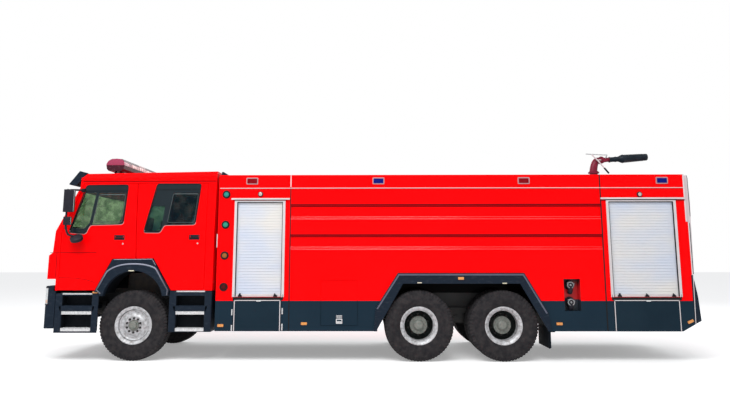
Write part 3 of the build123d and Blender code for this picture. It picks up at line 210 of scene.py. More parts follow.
world = bpy.data.worlds.new("studio")
bpy.context.scene.world = world
world.use_nodes = True
sky = world.node_tree
sky.nodes["Background"].inputs["Color"].default_value = (0.97, 0.98, 1.0, 1)
sky.nodes["Background"].inputs["Strength"].default_value = 0.62
seen = sky.nodes.new("ShaderNodeBackground")
seen.inputs["Color"].default_value = (1, 1, 1, 1)
seen.inputs["Strength"].default_value = 1.0
rays = sky.nodes.new("ShaderNodeLightPath")
either = sky.nodes.new("ShaderNodeMath")
either.operation = "MAXIMUM"
sky.links.new(rays.outputs["Is Camera Ray"], either.inputs[0])
sky.links.new(rays.outputs["Is Glossy Ray"], either.inputs[1])
any_seen = sky.nodes.new("ShaderNodeMath")
any_seen.operation = "MAXIMUM"
sky.links.new(either.outputs[0], any_seen.inputs[0])
sky.links.new(rays.outputs["Is Transmission Ray"], any_seen.inputs[1])
sky_mix = sky.nodes.new("ShaderNodeMixShader")
sky.links.new(any_seen.outputs[0], sky_mix.inputs[0])
sky.links.new(sky.nodes["Background"].outputs[0], sky_mix.inputs[1])
sky.links.new(seen.outputs[0], sky_mix.inputs[2])
sky.links.new(sky_mix.outputs[0], sky.nodes["World Output"].inputs["Surface"])

LAMPS = (
    # name, place, what it points at, width, height, watts
    ("key", (-3.0, -9.0, 11.5), (0.0, 0.0, 1.2), 13, 6, 1500),
    ("rim", (4.0, 10.0, 9.0), (0.0, 0.0, 1.5), 12, 5, 500),
)
for name, place, target, width, height, watts in LAMPS:
    lamp = bpy.data.lights.new(name, "AREA")
    lamp.shape = "RECTANGLE"
    lamp.size = width
    lamp.size_y = height
    lamp.energy = watts
    holder = bpy.data.objects.new(name, lamp)
    holder.location = place
    holder.rotation_euler = (Vector(target) - Vector(place)).to_track_quat("-Z", "Y").to_euler()
    bpy.context.scene.collection.objects.link(holder)


# Chassis. Two pressed steel channels with cross members, in satin black paint, and under them the
# cast axles, leaf packs, prop shafts and the engine, all dusty from the road.
FRONT_AXLE = -3.795
BOGIE = FRONT_AXLE + 5.275

chassis_paint = Finish("chassis_paint")
road_dust = chassis_paint.cloud(6, 5) * chassis_paint.axis("Z").ramp(1.2, 0.3)
chassis_paint.set(
    Base_Color=chassis_paint.blend(road_dust.ramp(0.2, 0.8), (0.012, 0.013, 0.015), (0.07, 0.062, 0.052)),
    Roughness=road_dust * 0.4 + 0.45,
)
chassis_paint.bump(chassis_paint.cloud(90, 3), 0.0006)
chassis_paint.on("frame", "axles", "springs", "tie_rod")

casting = Finish("iron_casting")
cast_dust = casting.cloud(9, 5)
casting.set(
    Base_Color=casting.blend(cast_dust.ramp(0.3, 0.8), (0.05, 0.052, 0.055), (0.13, 0.11, 0.09)),
    Roughness=cast_dust * 0.3 + 0.5,
    Metallic=0.3,
)
casting.bump(casting.cloud(240, 4), 0.0008)
casting.on("driveline", "knuckle_l", "knuckle_r")


def facing(first, second, level, along):
    """A point of a flat form that faces along an axis, at a level on that axis."""
    return {"X": (level, first, second), "Y": (first, level, second), "Z": (first, second, level)}[along]


class Shape:
    """A mesh in the making, in metres. Each method adds one form to it."""

    def __init__(self):
        self.mesh = bmesh.new()

    def faces(self, rings, closed=True, caps=True):
        """Joins rings of points, each with the same count, into a skin."""
        rows = [[self.mesh.verts.new(point) for point in ring] for ring in rings]
        count = len(rows[0])
        for row, following in zip(rows, rows[1:]):
            for number in range(count if closed else count - 1):
                after = (number + 1) % count
                self.mesh.faces.new((row[number], row[after], following[after], following[number]))
        if caps and closed:
            self.mesh.faces.new(list(reversed(rows[0])))
            self.mesh.faces.new(rows[-1])
        return rows

    def block(self, x, y, z, edge=0.0, segments=2):
        """A block between two values on each axis, its edges rounded."""
        corners = [(x[0], y[0]), (x[1], y[0]), (x[1], y[1]), (x[0], y[1])]
        rows = self.faces([[(a, b, level) for a, b in corners] for level in z])
        if edge:
            edges = {link for row in rows for vert in row for link in vert.link_edges}
            bmesh.ops.bevel(
                self.mesh, geom=list(edges), offset=edge, segments=segments, profile=0.6, affect="EDGES"
            )
        return self

    def plate(self, outline, start, depth, along="Y", edge=0.0):
        """A flat plate: an outline in the two other axes, pushed along the third."""
        rows = self.faces([[facing(a, b, level, along) for a, b in outline] for level in (start, start + depth)])
        if edge:
            edges = [link for row in rows for link in self.loop_edges(row)]
            bmesh.ops.bevel(self.mesh, geom=edges, offset=edge, segments=2, profile=0.6, affect="EDGES")
        return self

    def loop_edges(self, row):
        return [self.mesh.edges.get((a, b)) for a, b in zip(row, row[1:] + row[:1])]

    def band(self, outer, inner, start, depth, along="Y"):
        """A flat frame between two outlines with the same count of corners."""
        rings = [
            [facing(a, b, level, along) for a, b in outline]
            for outline, level in (
                (outer, start), (outer, start + depth), (inner, start + depth), (inner, start), (outer, start)
            )
        ]
        rows = self.faces(rings, caps=False)
        bmesh.ops.remove_doubles(self.mesh, verts=rows[0] + rows[-1], dist=1e-6)
        return self

    def turned(self, centre, profile, steps=48, axis="Y", caps=True):
        """A turned form: each profile point is a distance along the axis and a radius."""
        if isinstance(axis, str):
            across = Vector((0, 1, 0) if axis == "X" else (1, 0, 0))
            up = Vector((0, 1, 0) if axis == "Z" else (0, 0, 1))
            along = Vector({"X": (1, 0, 0), "Y": (0, 1, 0), "Z": (0, 0, 1)}[axis])
        else:
            along = Vector(axis).normalized()
            across = along.orthogonal().normalized()
            up = along.cross(across)
        rings = []
        for offset, radius in profile:
            rings.append([
                Vector(centre) + along * offset
                + (across * cos(2 * pi * n / steps) + up * sin(2 * pi * n / steps)) * max(radius, 0.0005)
                for n in range(steps)
            ])
        self.faces(rings, caps=caps)
        return self

    def tube(self, points, radius, sides=12, smooth=0):
        """A round tube through the points, its corners mitred, or eased when smooth is set."""
        path = [Vector(point) for point in points]
        for _ in range(smooth):
            eased = [path[0]]
            for first, second in zip(path, path[1:]):
                eased += [first.lerp(second, 0.25), first.lerp(second, 0.75)]
            path = eased + [path[-1]]
        rings = []
        side = (path[1] - path[0]).orthogonal().normalized()
        for number, point in enumerate(path):
            before = path[max(number - 1, 0)]
            after = path[min(number + 1, len(path) - 1)]
            along = (after - before).normalized()
            side = (side - along * side.dot(along)).normalized()
            other = along.cross(side)
            rings.append([
                point + (side * cos(2 * pi * n / sides) + other * sin(2 * pi * n / sides)) * radius
                for n in range(sides)
            ])
        self.faces(rings)
        return self

    def nut(self, centre, axis, across, height):
        """A hexagon nut with its stud standing out of it."""
        radius = across / sqrt(3)
        self.turned(centre, ((0, radius), (height * 0.85, radius), (height, radius * 0.85)), 6, axis)
        self.turned(centre, ((0, radius * 0.5), (height * 1.35, radius * 0.5), (height * 1.5, radius * 0.4)), 10, axis)
        return self

    def other_side(self):
        """Moves the forms to the truck's other side."""
        bmesh.ops.scale(self.mesh, vec=(1, -1, 1), verts=list(self.mesh.verts))

    def mirrored(self):
        """Adds the same forms at the truck's other side."""
        copy = bmesh.ops.duplicate(self.mesh, geom=list(self.mesh.verts) + list(self.mesh.edges) + list(self.mesh.faces))
        verts = [item for item in copy["geom"] if isinstance(item, bmesh.types.BMVert)]
        faces = [item for item in copy["geom"] if isinstance(item, bmesh.types.BMFace)]
        bmesh.ops.scale(self.mesh, vec=(1, -1, 1), verts=verts)
        bmesh.ops.reverse_faces(self.mesh, faces=faces)
        return self

    def piece(self, name, body, slot, finish, replaces=(), angle=35):
        """Makes the object, lets it ride on a body and gives it its finish."""
        bmesh.ops.recalc_face_normals(self.mesh, faces=list(self.mesh.faces))
        data = bpy.data.meshes.new(name)
        self.mesh.to_mesh(data)
        self.mesh.free()
        data.materials.append(finish.material)
        for polygon in data.polygons:
            polygon.use_smooth = True
        data.set_sharp_from_angle(angle=radians(angle))
        made = bpy.data.objects.new(name, data)
        bpy.context.scene.collection.objects.link(made)
        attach(made, body)
        if replaces:
            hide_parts(*replaces)
        return made


# Tyres. Road tyres of rubber for heavy load, with a ribbed tread, blocks cut into both shoulders
# and raised lines on the walls. Single ones steer in front, twins carry the two rear axles.
TYRE_R = 0.556
AXLE_Z = 0.556
TYRE_HALF = 0.1565
BEAD_R = 0.288
SHOULDER_BLOCKS = 66
TREAD = (
    # offset across, radius, whether the shoulder cuts reach it
    (-0.122, BEAD_R, 0), (-0.136, BEAD_R + 0.012, 0), (-0.146, 0.335, 0), (-0.1505, 0.338, 0), (-0.1525, 0.352, 0),
    (-0.1550, 0.356, 0), (-0.1562, 0.385, 0), (-0.1560, 0.410, 0), (-0.1585, 0.413, 0), (-0.1565, 0.420, 0),
    (-0.1545, 0.450, 0), (-0.1515, 0.480, 0), (-0.1500, 0.492, 0), (-0.1490, 0.496, 1), (-0.1450, 0.520, 1),
    (-0.1390, 0.540, 1), (-0.1290, 0.5515, 1), (-0.1150, 0.5545, 1), (-0.0830, 0.5555, 1), (-0.0800, 0.5420, 0),
    (-0.0680, 0.5420, 0), (-0.0650, 0.5558, 0), (-0.0400, 0.5560, 0), (-0.0370, 0.5420, 0), (-0.0250, 0.5420, 0),
    (-0.0220, 0.5560, 0), (0.0, 0.5560, 0),
)

rubber = Finish("tyre_rubber")
tyre_dust = rubber.cloud(14, 6)
rubber.set(
    Base_Color=rubber.blend(tyre_dust.ramp(0.35, 0.75), (0.015, 0.0145, 0.017), (0.040, 0.036, 0.037)),
    Roughness=tyre_dust * 0.3 + 0.6,
    Specular_IOR_Level=0.12,
)
rubber.bump(rubber.cloud(160, 3), 0.0008)


def tyre(shape, centre_x, centre_y):
    """One tyre: its profile turned about the axle, with the shoulders cut into blocks."""
    profile = list(TREAD) + [(-offset, radius, cut) for offset, radius, cut in reversed(TREAD[:-1])]
    profile += [(0.1225, BEAD_R - 0.03, 0), (-0.1225, BEAD_R - 0.03, 0)]
    steps = SHOULDER_BLOCKS * 3
    rings = []
    for step in range(steps):
        turn = 2 * pi * step / steps
        ring = []
        for offset, radius, cut in profile:
            late = 1 if offset > 0 else 0
            groove = cut and (step + late) % 3 == 0
            radius -= 0.011 if groove and radius > 0.51 else (0.004 if groove else 0)
            offset -= 0.007 * (1 if offset > 0 else -1) if groove and abs(offset) > 0.13 else 0
            ring.append((centre_x + radius * sin(turn), centre_y + offset, AXLE_Z - radius * cos(turn)))
        rings.append(ring)
    rows = [[shape.mesh.verts.new(point) for point in ring] for ring in rings]
    count = len(profile)
    for row, following in zip(rows, rows[1:] + rows[:1]):
        for number in range(count):
            after = (number + 1) % count
            shape.mesh.faces.new((row[number], row[after], following[after], following[number]))


FRONT_TYRE_Y = 1.043
TWIN_OUTER_Y = 1.084
TWIN_INNER_Y = 0.734
WHEELS = (
    # node ending, body, axle, centres across
    ("fl", "wheel_front_left", FRONT_AXLE, (-FRONT_TYRE_Y,)),
    ("fr", "wheel_front_right", FRONT_AXLE, (FRONT_TYRE_Y,)),
    ("ml", "wheels_middle_left", FRONT_AXLE + 4.6, (-TWIN_OUTER_Y, -TWIN_INNER_Y)),
    ("mr", "wheels_middle_right", FRONT_AXLE + 4.6, (TWIN_OUTER_Y, TWIN_INNER_Y)),
    ("rl", "wheels_rear_left", FRONT_AXLE + 5.95, (-TWIN_OUTER_Y, -TWIN_INNER_Y)),
    ("rr", "wheels_rear_right", FRONT_AXLE + 5.95, (TWIN_OUTER_Y, TWIN_INNER_Y)),
)
for ending, body, axle, centres in WHEELS:
    shape = Shape()
    for centre in centres:
        tyre(shape, axle, centre)
    shape.piece(f"road_tyre_{ending}", body, "tyre", rubber, [f"tyre_{ending}"], 40)

# Wheels. Pressed steel discs in rims with a split ring, painted silver: the front discs bulge out
# with ten hand holes and ten studs, the rear ones sit deep, behind the hubs of the driven axles.
silver_paint = Finish("silver_wheel_paint")
brake_dust = silver_paint.cloud(22, 5) ** 2
silver_paint.set(
    Base_Color=silver_paint.blend(brake_dust.ramp(0.12, 0.55), (0.54, 0.55, 0.57), (0.17, 0.16, 0.155)),
    Roughness=brake_dust * 0.3 + 0.38,
    Metallic=0.35,
)
silver_paint.bump(silver_paint.cloud(150, 3), 0.0004)
# Near-black paint for the deep rear dishes and drums: painted shade.
deep_wheel_shade_paint = mottled(
    "shaded_wheel_paint", (20, 5), (0.008, 0.012, 0.012), (0.030, 0.036, 0.034), (120, 3), 0.0005,
    Roughness=0.6, Specular_IOR_Level=0.15,
)
hub_paint = mottled(
    "grey_hub_paint", (30, 5), (0.12, 0.145, 0.125), (0.22, 0.22, 0.20), (200, 3), 0.0005,
    Roughness=0.55, Metallic=0.2, ramp=(0.3, 0.7),
)
stud_steel = Finish("dark_stud_steel")
stud_steel.set(
    Base_Color=stud_steel.blend(stud_steel.cloud(60, 4), (0.015, 0.016, 0.018), (0.06, 0.055, 0.05)),
    Roughness=0.45,
    Metallic=0.6,
)

RIM_R = 0.254
FLANGE_R = 0.3025
HAND_HOLES = 10
HOLE_PITCH_R = 0.196
HOLE_R = 0.019
STUD_PITCH_R = 0.1125


def disc_with_holes(shape, axle, hand, profile, hole_rows):
    """A turned disc whose hand holes are left open, with rows of the profile round each hole."""
    steps = HAND_HOLES * 12
    rows = []
    for number, (offset, radius) in enumerate(profile):
        row = []
        for step in range(steps):
            turn = 2 * pi * step / steps
            local = (step % 12) - 6
            distance, out = radius, offset
            angle = turn
            first, last = hole_rows
            if first <= number <= last and abs(local) <= 2:
                middle = (first + last) / 2
                span = (last - first) / 2
                across = local / 2
                down = (number - middle) / span
                if max(abs(across), abs(down)) > 0.9:
                    length = sqrt(across * across + down * down)
                    across, down = across / length, down / length
                distance = HOLE_PITCH_R + down * HOLE_R
                angle = 2 * pi * (step - local) / steps + across * HOLE_R * 1.25 / HOLE_PITCH_R
            row.append(shape.mesh.verts.new((
                axle + distance * sin(angle), hand * out, AXLE_Z - distance * cos(angle)
            )))
        rows.append(row)
    for number, (row, following) in enumerate(zip(rows, rows[1:])):
        for step in range(steps):
            local = (step % 12) - 6
            if hole_rows[0] <= number < hole_rows[1] and -2 <= local < 2:
                continue
            after = (step + 1) % steps
            shape.mesh.faces.new((row[step], row[after], following[after], following[step]))


for ending, body, axle, centres in WHEELS:
    hand = -1 if centres[0] < 0 else 1
    if ending[0] == "f":
        face = FRONT_TYRE_Y
        rim = Shape()
        rim.turned((axle, 0, AXLE_Z), [(hand * (face + out), radius) for out, radius in (
            (-0.132, FLANGE_R - 0.012), (-0.132, FLANGE_R), (-0.124, FLANGE_R), (-0.118, RIM_R), (0.118, RIM_R),
            (0.126, FLANGE_R - 0.003), (0.131, FLANGE_R + 0.002), (0.137, FLANGE_R - 0.002), (0.139, FLANGE_R - 0.012),
            (0.134, FLANGE_R - 0.022), (0.124, RIM_R + 0.006), (0.120, RIM_R - 0.002), (0.090, RIM_R - 0.010),
            (0.030, RIM_R - 0.014), (-0.120, RIM_R - 0.014), (-0.120, 0.05), (-0.121, 0.0),
        )], 96)
        rim.piece(f"rim_{ending}", body, "wheel_silver", silver_paint)
        disc = Shape()
        disc_with_holes(disc, axle, hand, [(face + out, radius) for out, radius in (
            (0.086, RIM_R - 0.011), (0.096, 0.240), (0.095, 0.232), (0.088, 0.222), (0.082, 0.214), (0.083, 0.205),
            (0.085, 0.196), (0.087, 0.187), (0.089, 0.178), (0.092, 0.172), (0.101, 0.160), (0.111, 0.148),
            (0.113, 0.142), (0.113, 0.092), (0.111, 0.088), (0.104, 0.086), (0.104, 0.02),
        )], (4, 8))
        disc.piece(f"disc_{ending}", body, "wheel_silver", silver_paint, [f"wheel_{ending}"])
        studs = Shape()
        for number in range(10):
            turn = 2 * pi * (number + 0.5) / 10
            place = (axle + STUD_PITCH_R * cos(turn), hand * (face + 0.112), AXLE_Z + STUD_PITCH_R * sin(turn))
            studs.nut(place, (0, hand, 0), 0.033, 0.024)
        studs.piece(f"studs_{ending}", body, "chassis_black", stud_steel)
        hub = Shape()
        hub.turned((axle, 0, AXLE_Z), [(hand * (face + out), radius) for out, radius in (
            (0.100, 0.086), (0.118, 0.084), (0.124, 0.078), (0.126, 0.060), (0.146, 0.056), (0.151, 0.050),
            (0.153, 0.030), (0.152, 0.0),
        )], 48)
        hub.piece(f"hub_{ending}", body, "cast_grey", hub_paint)
    else:
        joint = (TWIN_OUTER_Y + TWIN_INNER_Y) / 2
        rims = Shape()
        for centre, way in ((TWIN_OUTER_Y, 1), (TWIN_INNER_Y, -1)):
            rims.turned((axle, 0, AXLE_Z), [(hand * (centre + way * out), radius) for out, radius in (
                (-0.132, FLANGE_R - 0.012), (-0.132, FLANGE_R), (-0.124, FLANGE_R), (-0.118, RIM_R), (0.118, RIM_R),
                (0.126, FLANGE_R - 0.003), (0.131, FLANGE_R + 0.002), (0.137, FLANGE_R - 0.002),
                (0.139, FLANGE_R - 0.012), (0.134, FLANGE_R - 0.022), (0.124, RIM_R + 0.004), (0.112, RIM_R - 0.006),
                (0.104, RIM_R - 0.010), (0.102, RIM_R - 0.018), (0.020, RIM_R - 0.021), (-0.060, RIM_R - 0.023),
                (-0.060, RIM_R - 0.010), (-0.132, RIM_R - 0.004), (-0.132, FLANGE_R - 0.012),
            )], 96, caps=False)
        rims.piece(f"rims_{ending}", body, "wheel_silver", silver_paint, [f"wheel_{ending}"])
        dish = Shape()
        dish.turned((axle, 0, AXLE_Z), [(hand * out, radius) for out, radius in (
            (TWIN_OUTER_Y - 0.040, RIM_R - 0.0225), (TWIN_OUTER_Y - 0.060, RIM_R - 0.024),
            (joint + 0.05, RIM_R - 0.026), (joint + 0.018, RIM_R - 0.034), (joint + 0.014, 0.205), (joint + 0.022, 0.190),
            (joint + 0.026, 0.165), (joint + 0.026, 0.145), (joint + 0.010, 0.145), (joint + 0.008, 0.01),
        )], 72, caps=False)
        dish.piece(f"dish_{ending}", body, "wheel_silver", deep_wheel_shade_paint)
        inner = Shape()
        inner.turned((axle, 0, AXLE_Z), [(hand * out, radius) for out, radius in (
            (0.600, 0.0), (0.600, 0.200), (0.640, 0.214), (joint - 0.02, 0.214), (joint - 0.02, 0.0),
        )], 48)
        inner.piece(f"drum_{ending}", body, "cast_grey", deep_wheel_shade_paint)
        hub = Shape()
        hub.turned((axle, 0, AXLE_Z), [(hand * (joint + out), radius) for out, radius in (
            (0.010, 0.143), (0.040, 0.143), (0.060, 0.132), (0.150, 0.128), (0.158, 0.140), (0.176, 0.141),
            (0.180, 0.137), (0.182, 0.095), (0.186, 0.088), (0.214, 0.070), (0.221, 0.062), (0.224, 0.045),
            (0.222, 0.0),
        )], 64)
        for number in range(16):
            turn = 2 * pi * number / 16
            place = (axle + 0.117 * cos(turn), hand * (joint + 0.181), AXLE_Z + 0.117 * sin(turn))
            hub.nut(place, (0, hand, 0), 0.017, 0.010)
        hub.piece(f"hub_{ending}", body, "cast_grey", hub_paint)
        studs = Shape()
        for number in range(10):
            turn = 2 * pi * (number + 0.5) / 10
            place = (axle + 0.167 * cos(turn), hand * (joint + 0.025), AXLE_Z + 0.167 * sin(turn))
            studs.nut(place, (0, hand, 0), 0.033, 0.028)
        studs.piece(f"studs_{ending}", body, "chassis_black", stud_steel)

# Front bumper. A steel beam in slate paint, bowed over its length, with lamp units let into both
# ends, two air slots, a fog lamp low at each side and a blank number plate in the middle.
slate_paint = Finish("slate_band_paint")
slate_fade = slate_paint.cloud(1.6, 4)
slate_paint.set(
    Base_Color=slate_paint.blend(slate_fade.ramp(0.3, 0.7), (0.0055, 0.0175, 0.0295), (0.0090, 0.0235, 0.0375)),
    Roughness=slate_fade * 0.12 + 0.28,
    Specular_IOR_Level=0.07,
    Coat_Weight=0.02,
    Coat_Roughness=0.08,
)
slate_paint.bump(slate_paint.cloud(420, 2), 0.00012)
slate_mould = Finish("slate_moulding")
mould_grain = slate_mould.cloud(900, 2)
scuffs = slate_mould.cloud(11, 6, (1, 1, 2.5)).ramp(0.52, 0.74)
slate_mould.set(
    Base_Color=slate_mould.blend(scuffs, (0.0095, 0.0165, 0.0280), (0.022, 0.031, 0.044)),
    Roughness=scuffs * 0.2 + 0.42,
    Specular_IOR_Level=0.08,
)
slate_mould.bump(mould_grain, 0.0003)
slate_mould.on("front_bumper", "steps", "rear_bumper", "arch_trims")
black_mould = mottled(
    "black_moulding", (24, 5), (0.007, 0.007, 0.011), (0.022, 0.021, 0.030), (800, 2), 0.0003,
    Roughness=0.45, Specular_IOR_Level=0.15,
)
chrome_bowl = Finish("lamp_reflector")
chrome_bowl.set(
    Base_Color=chrome_bowl.blend(chrome_bowl.cloud(30, 2), (0.80, 0.81, 0.82), (0.9, 0.9, 0.9)),
    Metallic=0.9,
    Roughness=0.12,
)
clear_lens = Finish("clear_lens")
flutes = clear_lens.node(
    "ShaderNodeTexWave", {"wave_type": "BANDS", "bands_direction": "Y"},
    {"Vector": clear_lens.place(), "Scale": 26.0, "Distortion": 0.0},
)
clear_lens.set(
    Base_Color=clear_lens.blend(clear_lens.cloud(12, 2), (0.62, 0.66, 0.68), (0.74, 0.77, 0.78)),
    Alpha=0.42,
    Roughness=0.06,
    Coat_Weight=0.6,
)
clear_lens.bump(flutes, 0.0008)
amber_lens = Finish("amber_lens")
amber_cells = amber_lens.node(
    "ShaderNodeTexChecker", {}, {"Vector": amber_lens.place(), "Color1": (1, 1, 1), "Color2": (0, 0, 0), "Scale": 160.0},
    output=1,
)
amber_lens.set(
    Base_Color=amber_lens.blend(amber_cells, (0.62, 0.20, 0.030), (0.80, 0.36, 0.090)),
    Roughness=0.18,
    Coat_Weight=0.2,
)
amber_lens.bump(amber_cells, 0.0006)


def bumper_path(proud, start_y, side_x):
    """Points in plan along the bumper's face, from one y round the left corner to one x."""
    points = []
    for number in range(7):
        y = start_y + (1.190 - start_y) * number / 6
        points.append((-1.500 + 0.065 * (y / 1.190) ** 2 - proud, -y))
    centre = (-1.385, -1.190)
    for number in range(1, 9):
        turn = radians(8 + 82 * number / 8)
        reach = 0.050 + proud
        points.append((centre[0] - reach * cos(turn), centre[1] - (reach + 0.010) * sin(turn)))
    points.append((side_x, -1.250 - proud))
    return [(FRONT_AXLE + x, y) for x, y in points]


def bumper_skin(shape, start_y, side_x, low, high, proud, depth=0.004):
    """A skin that follows the bumper's face round the corner."""
    outer = bumper_path(proud, start_y, side_x)
    inner = bumper_path(proud - depth, start_y, side_x)
    rings = []
    for (ax, ay), (bx, by) in zip(outer, inner):
        rings.append([(ax, ay, low), (ax, ay, high), (bx, by, high), (bx, by, low)])
    shape.faces(rings)


lamp_frame = Shape()
for low, high in ((0.884, 0.900), (1.150, 1.168)):
    bumper_skin(lamp_frame, 0.845, -1.372, low, high, 0.007, 0.006)
lamp_frame.mirrored()
lamp_frame.piece("headlamp_frames", "chassis", "black_plastic", black_mould)
lens = Shape()
bumper_skin(lens, 0.850, -1.380, 0.899, 1.151, 0.005)
lens.mirrored()
lens.piece("headlamp_lenses", "chassis", "lamp_lens", clear_lens)
bowls = Shape()
for y in (-0.935, -1.080):
    bowls.turned((FRONT_AXLE - 1.413, y, 1.030), (
        (0.0, 0.0), (0.0, 0.03), (-0.012, 0.055), (-0.030, 0.066), (-0.034, 0.069), (-0.034, 0.073), (0.0, 0.073)
    ), 36, "X")
    bowls.turned((FRONT_AXLE - 1.413, y, 1.030), ((0.0, 0.014), (-0.024, 0.014), (-0.030, 0.008), (-0.031, 0.0)), 20, "X")
bowls.block((FRONT_AXLE - 1.4140, FRONT_AXLE - 1.4115), (-1.186, -0.866), (0.905, 1.146))
bumper_skin(bowls, 1.175, -1.386, 0.905, 1.146, 0.0012, 0.0008)
bowls.mirrored()
bowls.piece("headlamp_reflectors", "chassis", "wheel_silver", chrome_bowl)
blinkers = Shape()
bumper_skin(blinkers, 1.196, -1.384, 0.915, 0.966, 0.0035, 0.002)
blinkers.mirrored()
blinkers.piece("corner_blinkers", "chassis", "lamp_lens", amber_lens)

bumper_trim = Shape()
for y in (-0.842, 0.842):
    x = FRONT_AXLE - 1.500 + 0.065 * (y / 1.190) ** 2
    bumper_trim.block((x - 0.0015, x + 0.004), (y - 0.005, y + 0.005), (0.520, 1.138))
for z in (0.600, 0.680, 0.710, 0.790):
    bumper_trim.tube([
        (FRONT_AXLE - 1.502 + 0.065 * (y / 1.19) ** 2, y, z) for y in (-0.62, -0.45, -0.22, 0.0, 0.22, 0.45, 0.62)
    ], 0.006, 8)
bumper_trim.block((FRONT_AXLE - 1.470, FRONT_AXLE - 1.460), (-0.62, 0.62), (0.598, 0.792))
for y in (-0.90, 0.90):
    x = FRONT_AXLE - 1.500 + 0.065 * (y / 1.190) ** 2
    bumper_trim.turned((x + 0.006, y, 0.735), (
        (0.0, 0.092), (-0.014, 0.092), (-0.018, 0.086), (-0.018, 0.070), (-0.010, 0.064), (-0.010, 0.0)
    ), 40, "X")
bumper_trim.piece("bumper_fittings", "chassis", "black_plastic", black_mould)
fog_lamps = Shape()
for y in (-0.90, 0.90):
    x = FRONT_AXLE - 1.500 + 0.065 * (y / 1.190) ** 2
    fog_lamps.turned((x - 0.004, y, 0.735), ((0.0, 0.066), (-0.010, 0.062), (-0.015, 0.040), (-0.017, 0.0)), 36, "X")
fog_lamps.piece("fog_lamp_lenses", "chassis", "lamp_lens", clear_lens)
white_plate = Finish("blank_number_plate")
white_plate.set(
    Base_Color=white_plate.blend(white_plate.cloud(20, 4), (0.70, 0.71, 0.71), (0.80, 0.80, 0.80)),
    Roughness=0.35,
)
plates = Shape()
plates.block((FRONT_AXLE - 1.508, FRONT_AXLE - 1.500), (-0.22, 0.22), (0.86, 1.00), 0.003)
plates.piece("number_plate_front", "chassis", "bright_rail", white_plate)

# Cab steps. Moulded boxes in slate with two toe recesses each; bright pressed treads with raised
# teeth lie on every ledge, bolted through, and a near-black skin in each recess is painted shade.
bright_metal = Finish("bright_tread_aluminium")
wear = bright_metal.cloud(45, 5)
bright_metal.set(
    Base_Color=bright_metal.blend(wear.ramp(0.3, 0.7), (0.70, 0.71, 0.72), (0.46, 0.47, 0.48)),
    Metallic=0.45,
    Roughness=wear * 0.25 + 0.28,
)
bright_metal.bump(bright_metal.cloud(300, 3, (1, 1, 8)), 0.0003)
# Near-black: painted shade in the step recesses and the front arches, and the real black of the mud flaps.
shade_and_flap_black = mottled(
    "painted_shade_and_flap_black", (15, 5), (0.003, 0.004, 0.006), (0.010, 0.013, 0.017), (200, 3), 0.0005,
    Roughness=0.6, Specular_IOR_Level=0.05,
)

STEP_BOXES = (
    # front, back, lowest, highest, tread ends from the front and from the back
    (-1.254, -0.552, 0.447, 1.064, 0.115, 0.115),
    (0.587, 1.266, 0.462, 1.103, 0.060, 0.160),
)
treads = Shape()
recess_shade_skins = Shape()
ledges = Shape()
for front_x, back_x, low, high, near, far in STEP_BOXES:
    start, end = FRONT_AXLE + front_x + 0.110, FRONT_AXLE + back_x - 0.110
    for level, top in ((0.472, 0.518), (0.734, 0.780), (high - 0.016, high)):
        skin = -1.254 if top < high else -1.2535
        inner = -1.112 if top < high else -1.150
        treads.block((start, end), (skin, skin + 0.012), (level, top), 0.003)
        treads.block((start, end), (skin + 0.004, inner), (top - 0.003, top + 0.004), 0.002)
        count = 22
        for number in range(count):
            x = start + (end - start) * (number + 0.5) / count
            treads.block((x - 0.006, x + 0.006), (skin - 0.002, skin + 0.016), (top - 0.006, top + 0.006), 0.002, 1)
            if top < high:
                treads.turned((x, skin + 0.045, top + 0.003), ((0, 0.007), (0.004, 0.0045)), 8, "Z")
                treads.turned((x, skin + 0.090, top + 0.003), ((0, 0.007), (0.004, 0.0045)), 8, "Z")
    for toe_low, toe_high in ((0.521, 0.731), (0.873, 1.029)):
        recess_shade_skins.plate(
            [(start, toe_low), (end, toe_low), (end, toe_high), (start, toe_high)], -1.1025, 0.002
        )
        for x in (start + 0.0005, end - 0.0025):
            recess_shade_skins.block((x, x + 0.002), (-1.248, -1.102), (toe_low, toe_high))
    ledges.plate([
        (start - 0.050, 0.868), (end + 0.050, 0.868), (end + 0.030, 0.786), (start - 0.030, 0.786)
    ], -1.256, 0.010, edge=0.003)
    for x in (start - 0.055, end + 0.055):
        ledges.block((x - 0.046, x + 0.046), (-1.256, -1.245), (low + 0.02, 0.868), 0.005)
treads.mirrored()
treads.piece("step_treads", "chassis", "bright_rail", bright_metal)
recess_shade_skins.mirrored()
recess_shade_skins.piece("step_recess_shade_skins", "chassis", "slate_plastic", shade_and_flap_black)
ledges.mirrored()
ledges.piece("step_ledges", "chassis", "slate_plastic", slate_mould)

# Cab. Welded steel panels in bright red enamel: shell, four doors and the lifting grille panel,
# with dark joints, a rain gutter over the doors and a pressed crease below the handles. The strips
# under the gutter, along the crease and in the door gaps are painted shade, as is the dark underside.
red_paint = Finish("fire_red_enamel")
red_fade = red_paint.cloud(0.8, 4)
red_film = red_paint.cloud(7, 6).ramp(0.45, 0.9) * red_paint.axis("Z").ramp(1.9, 0.9)
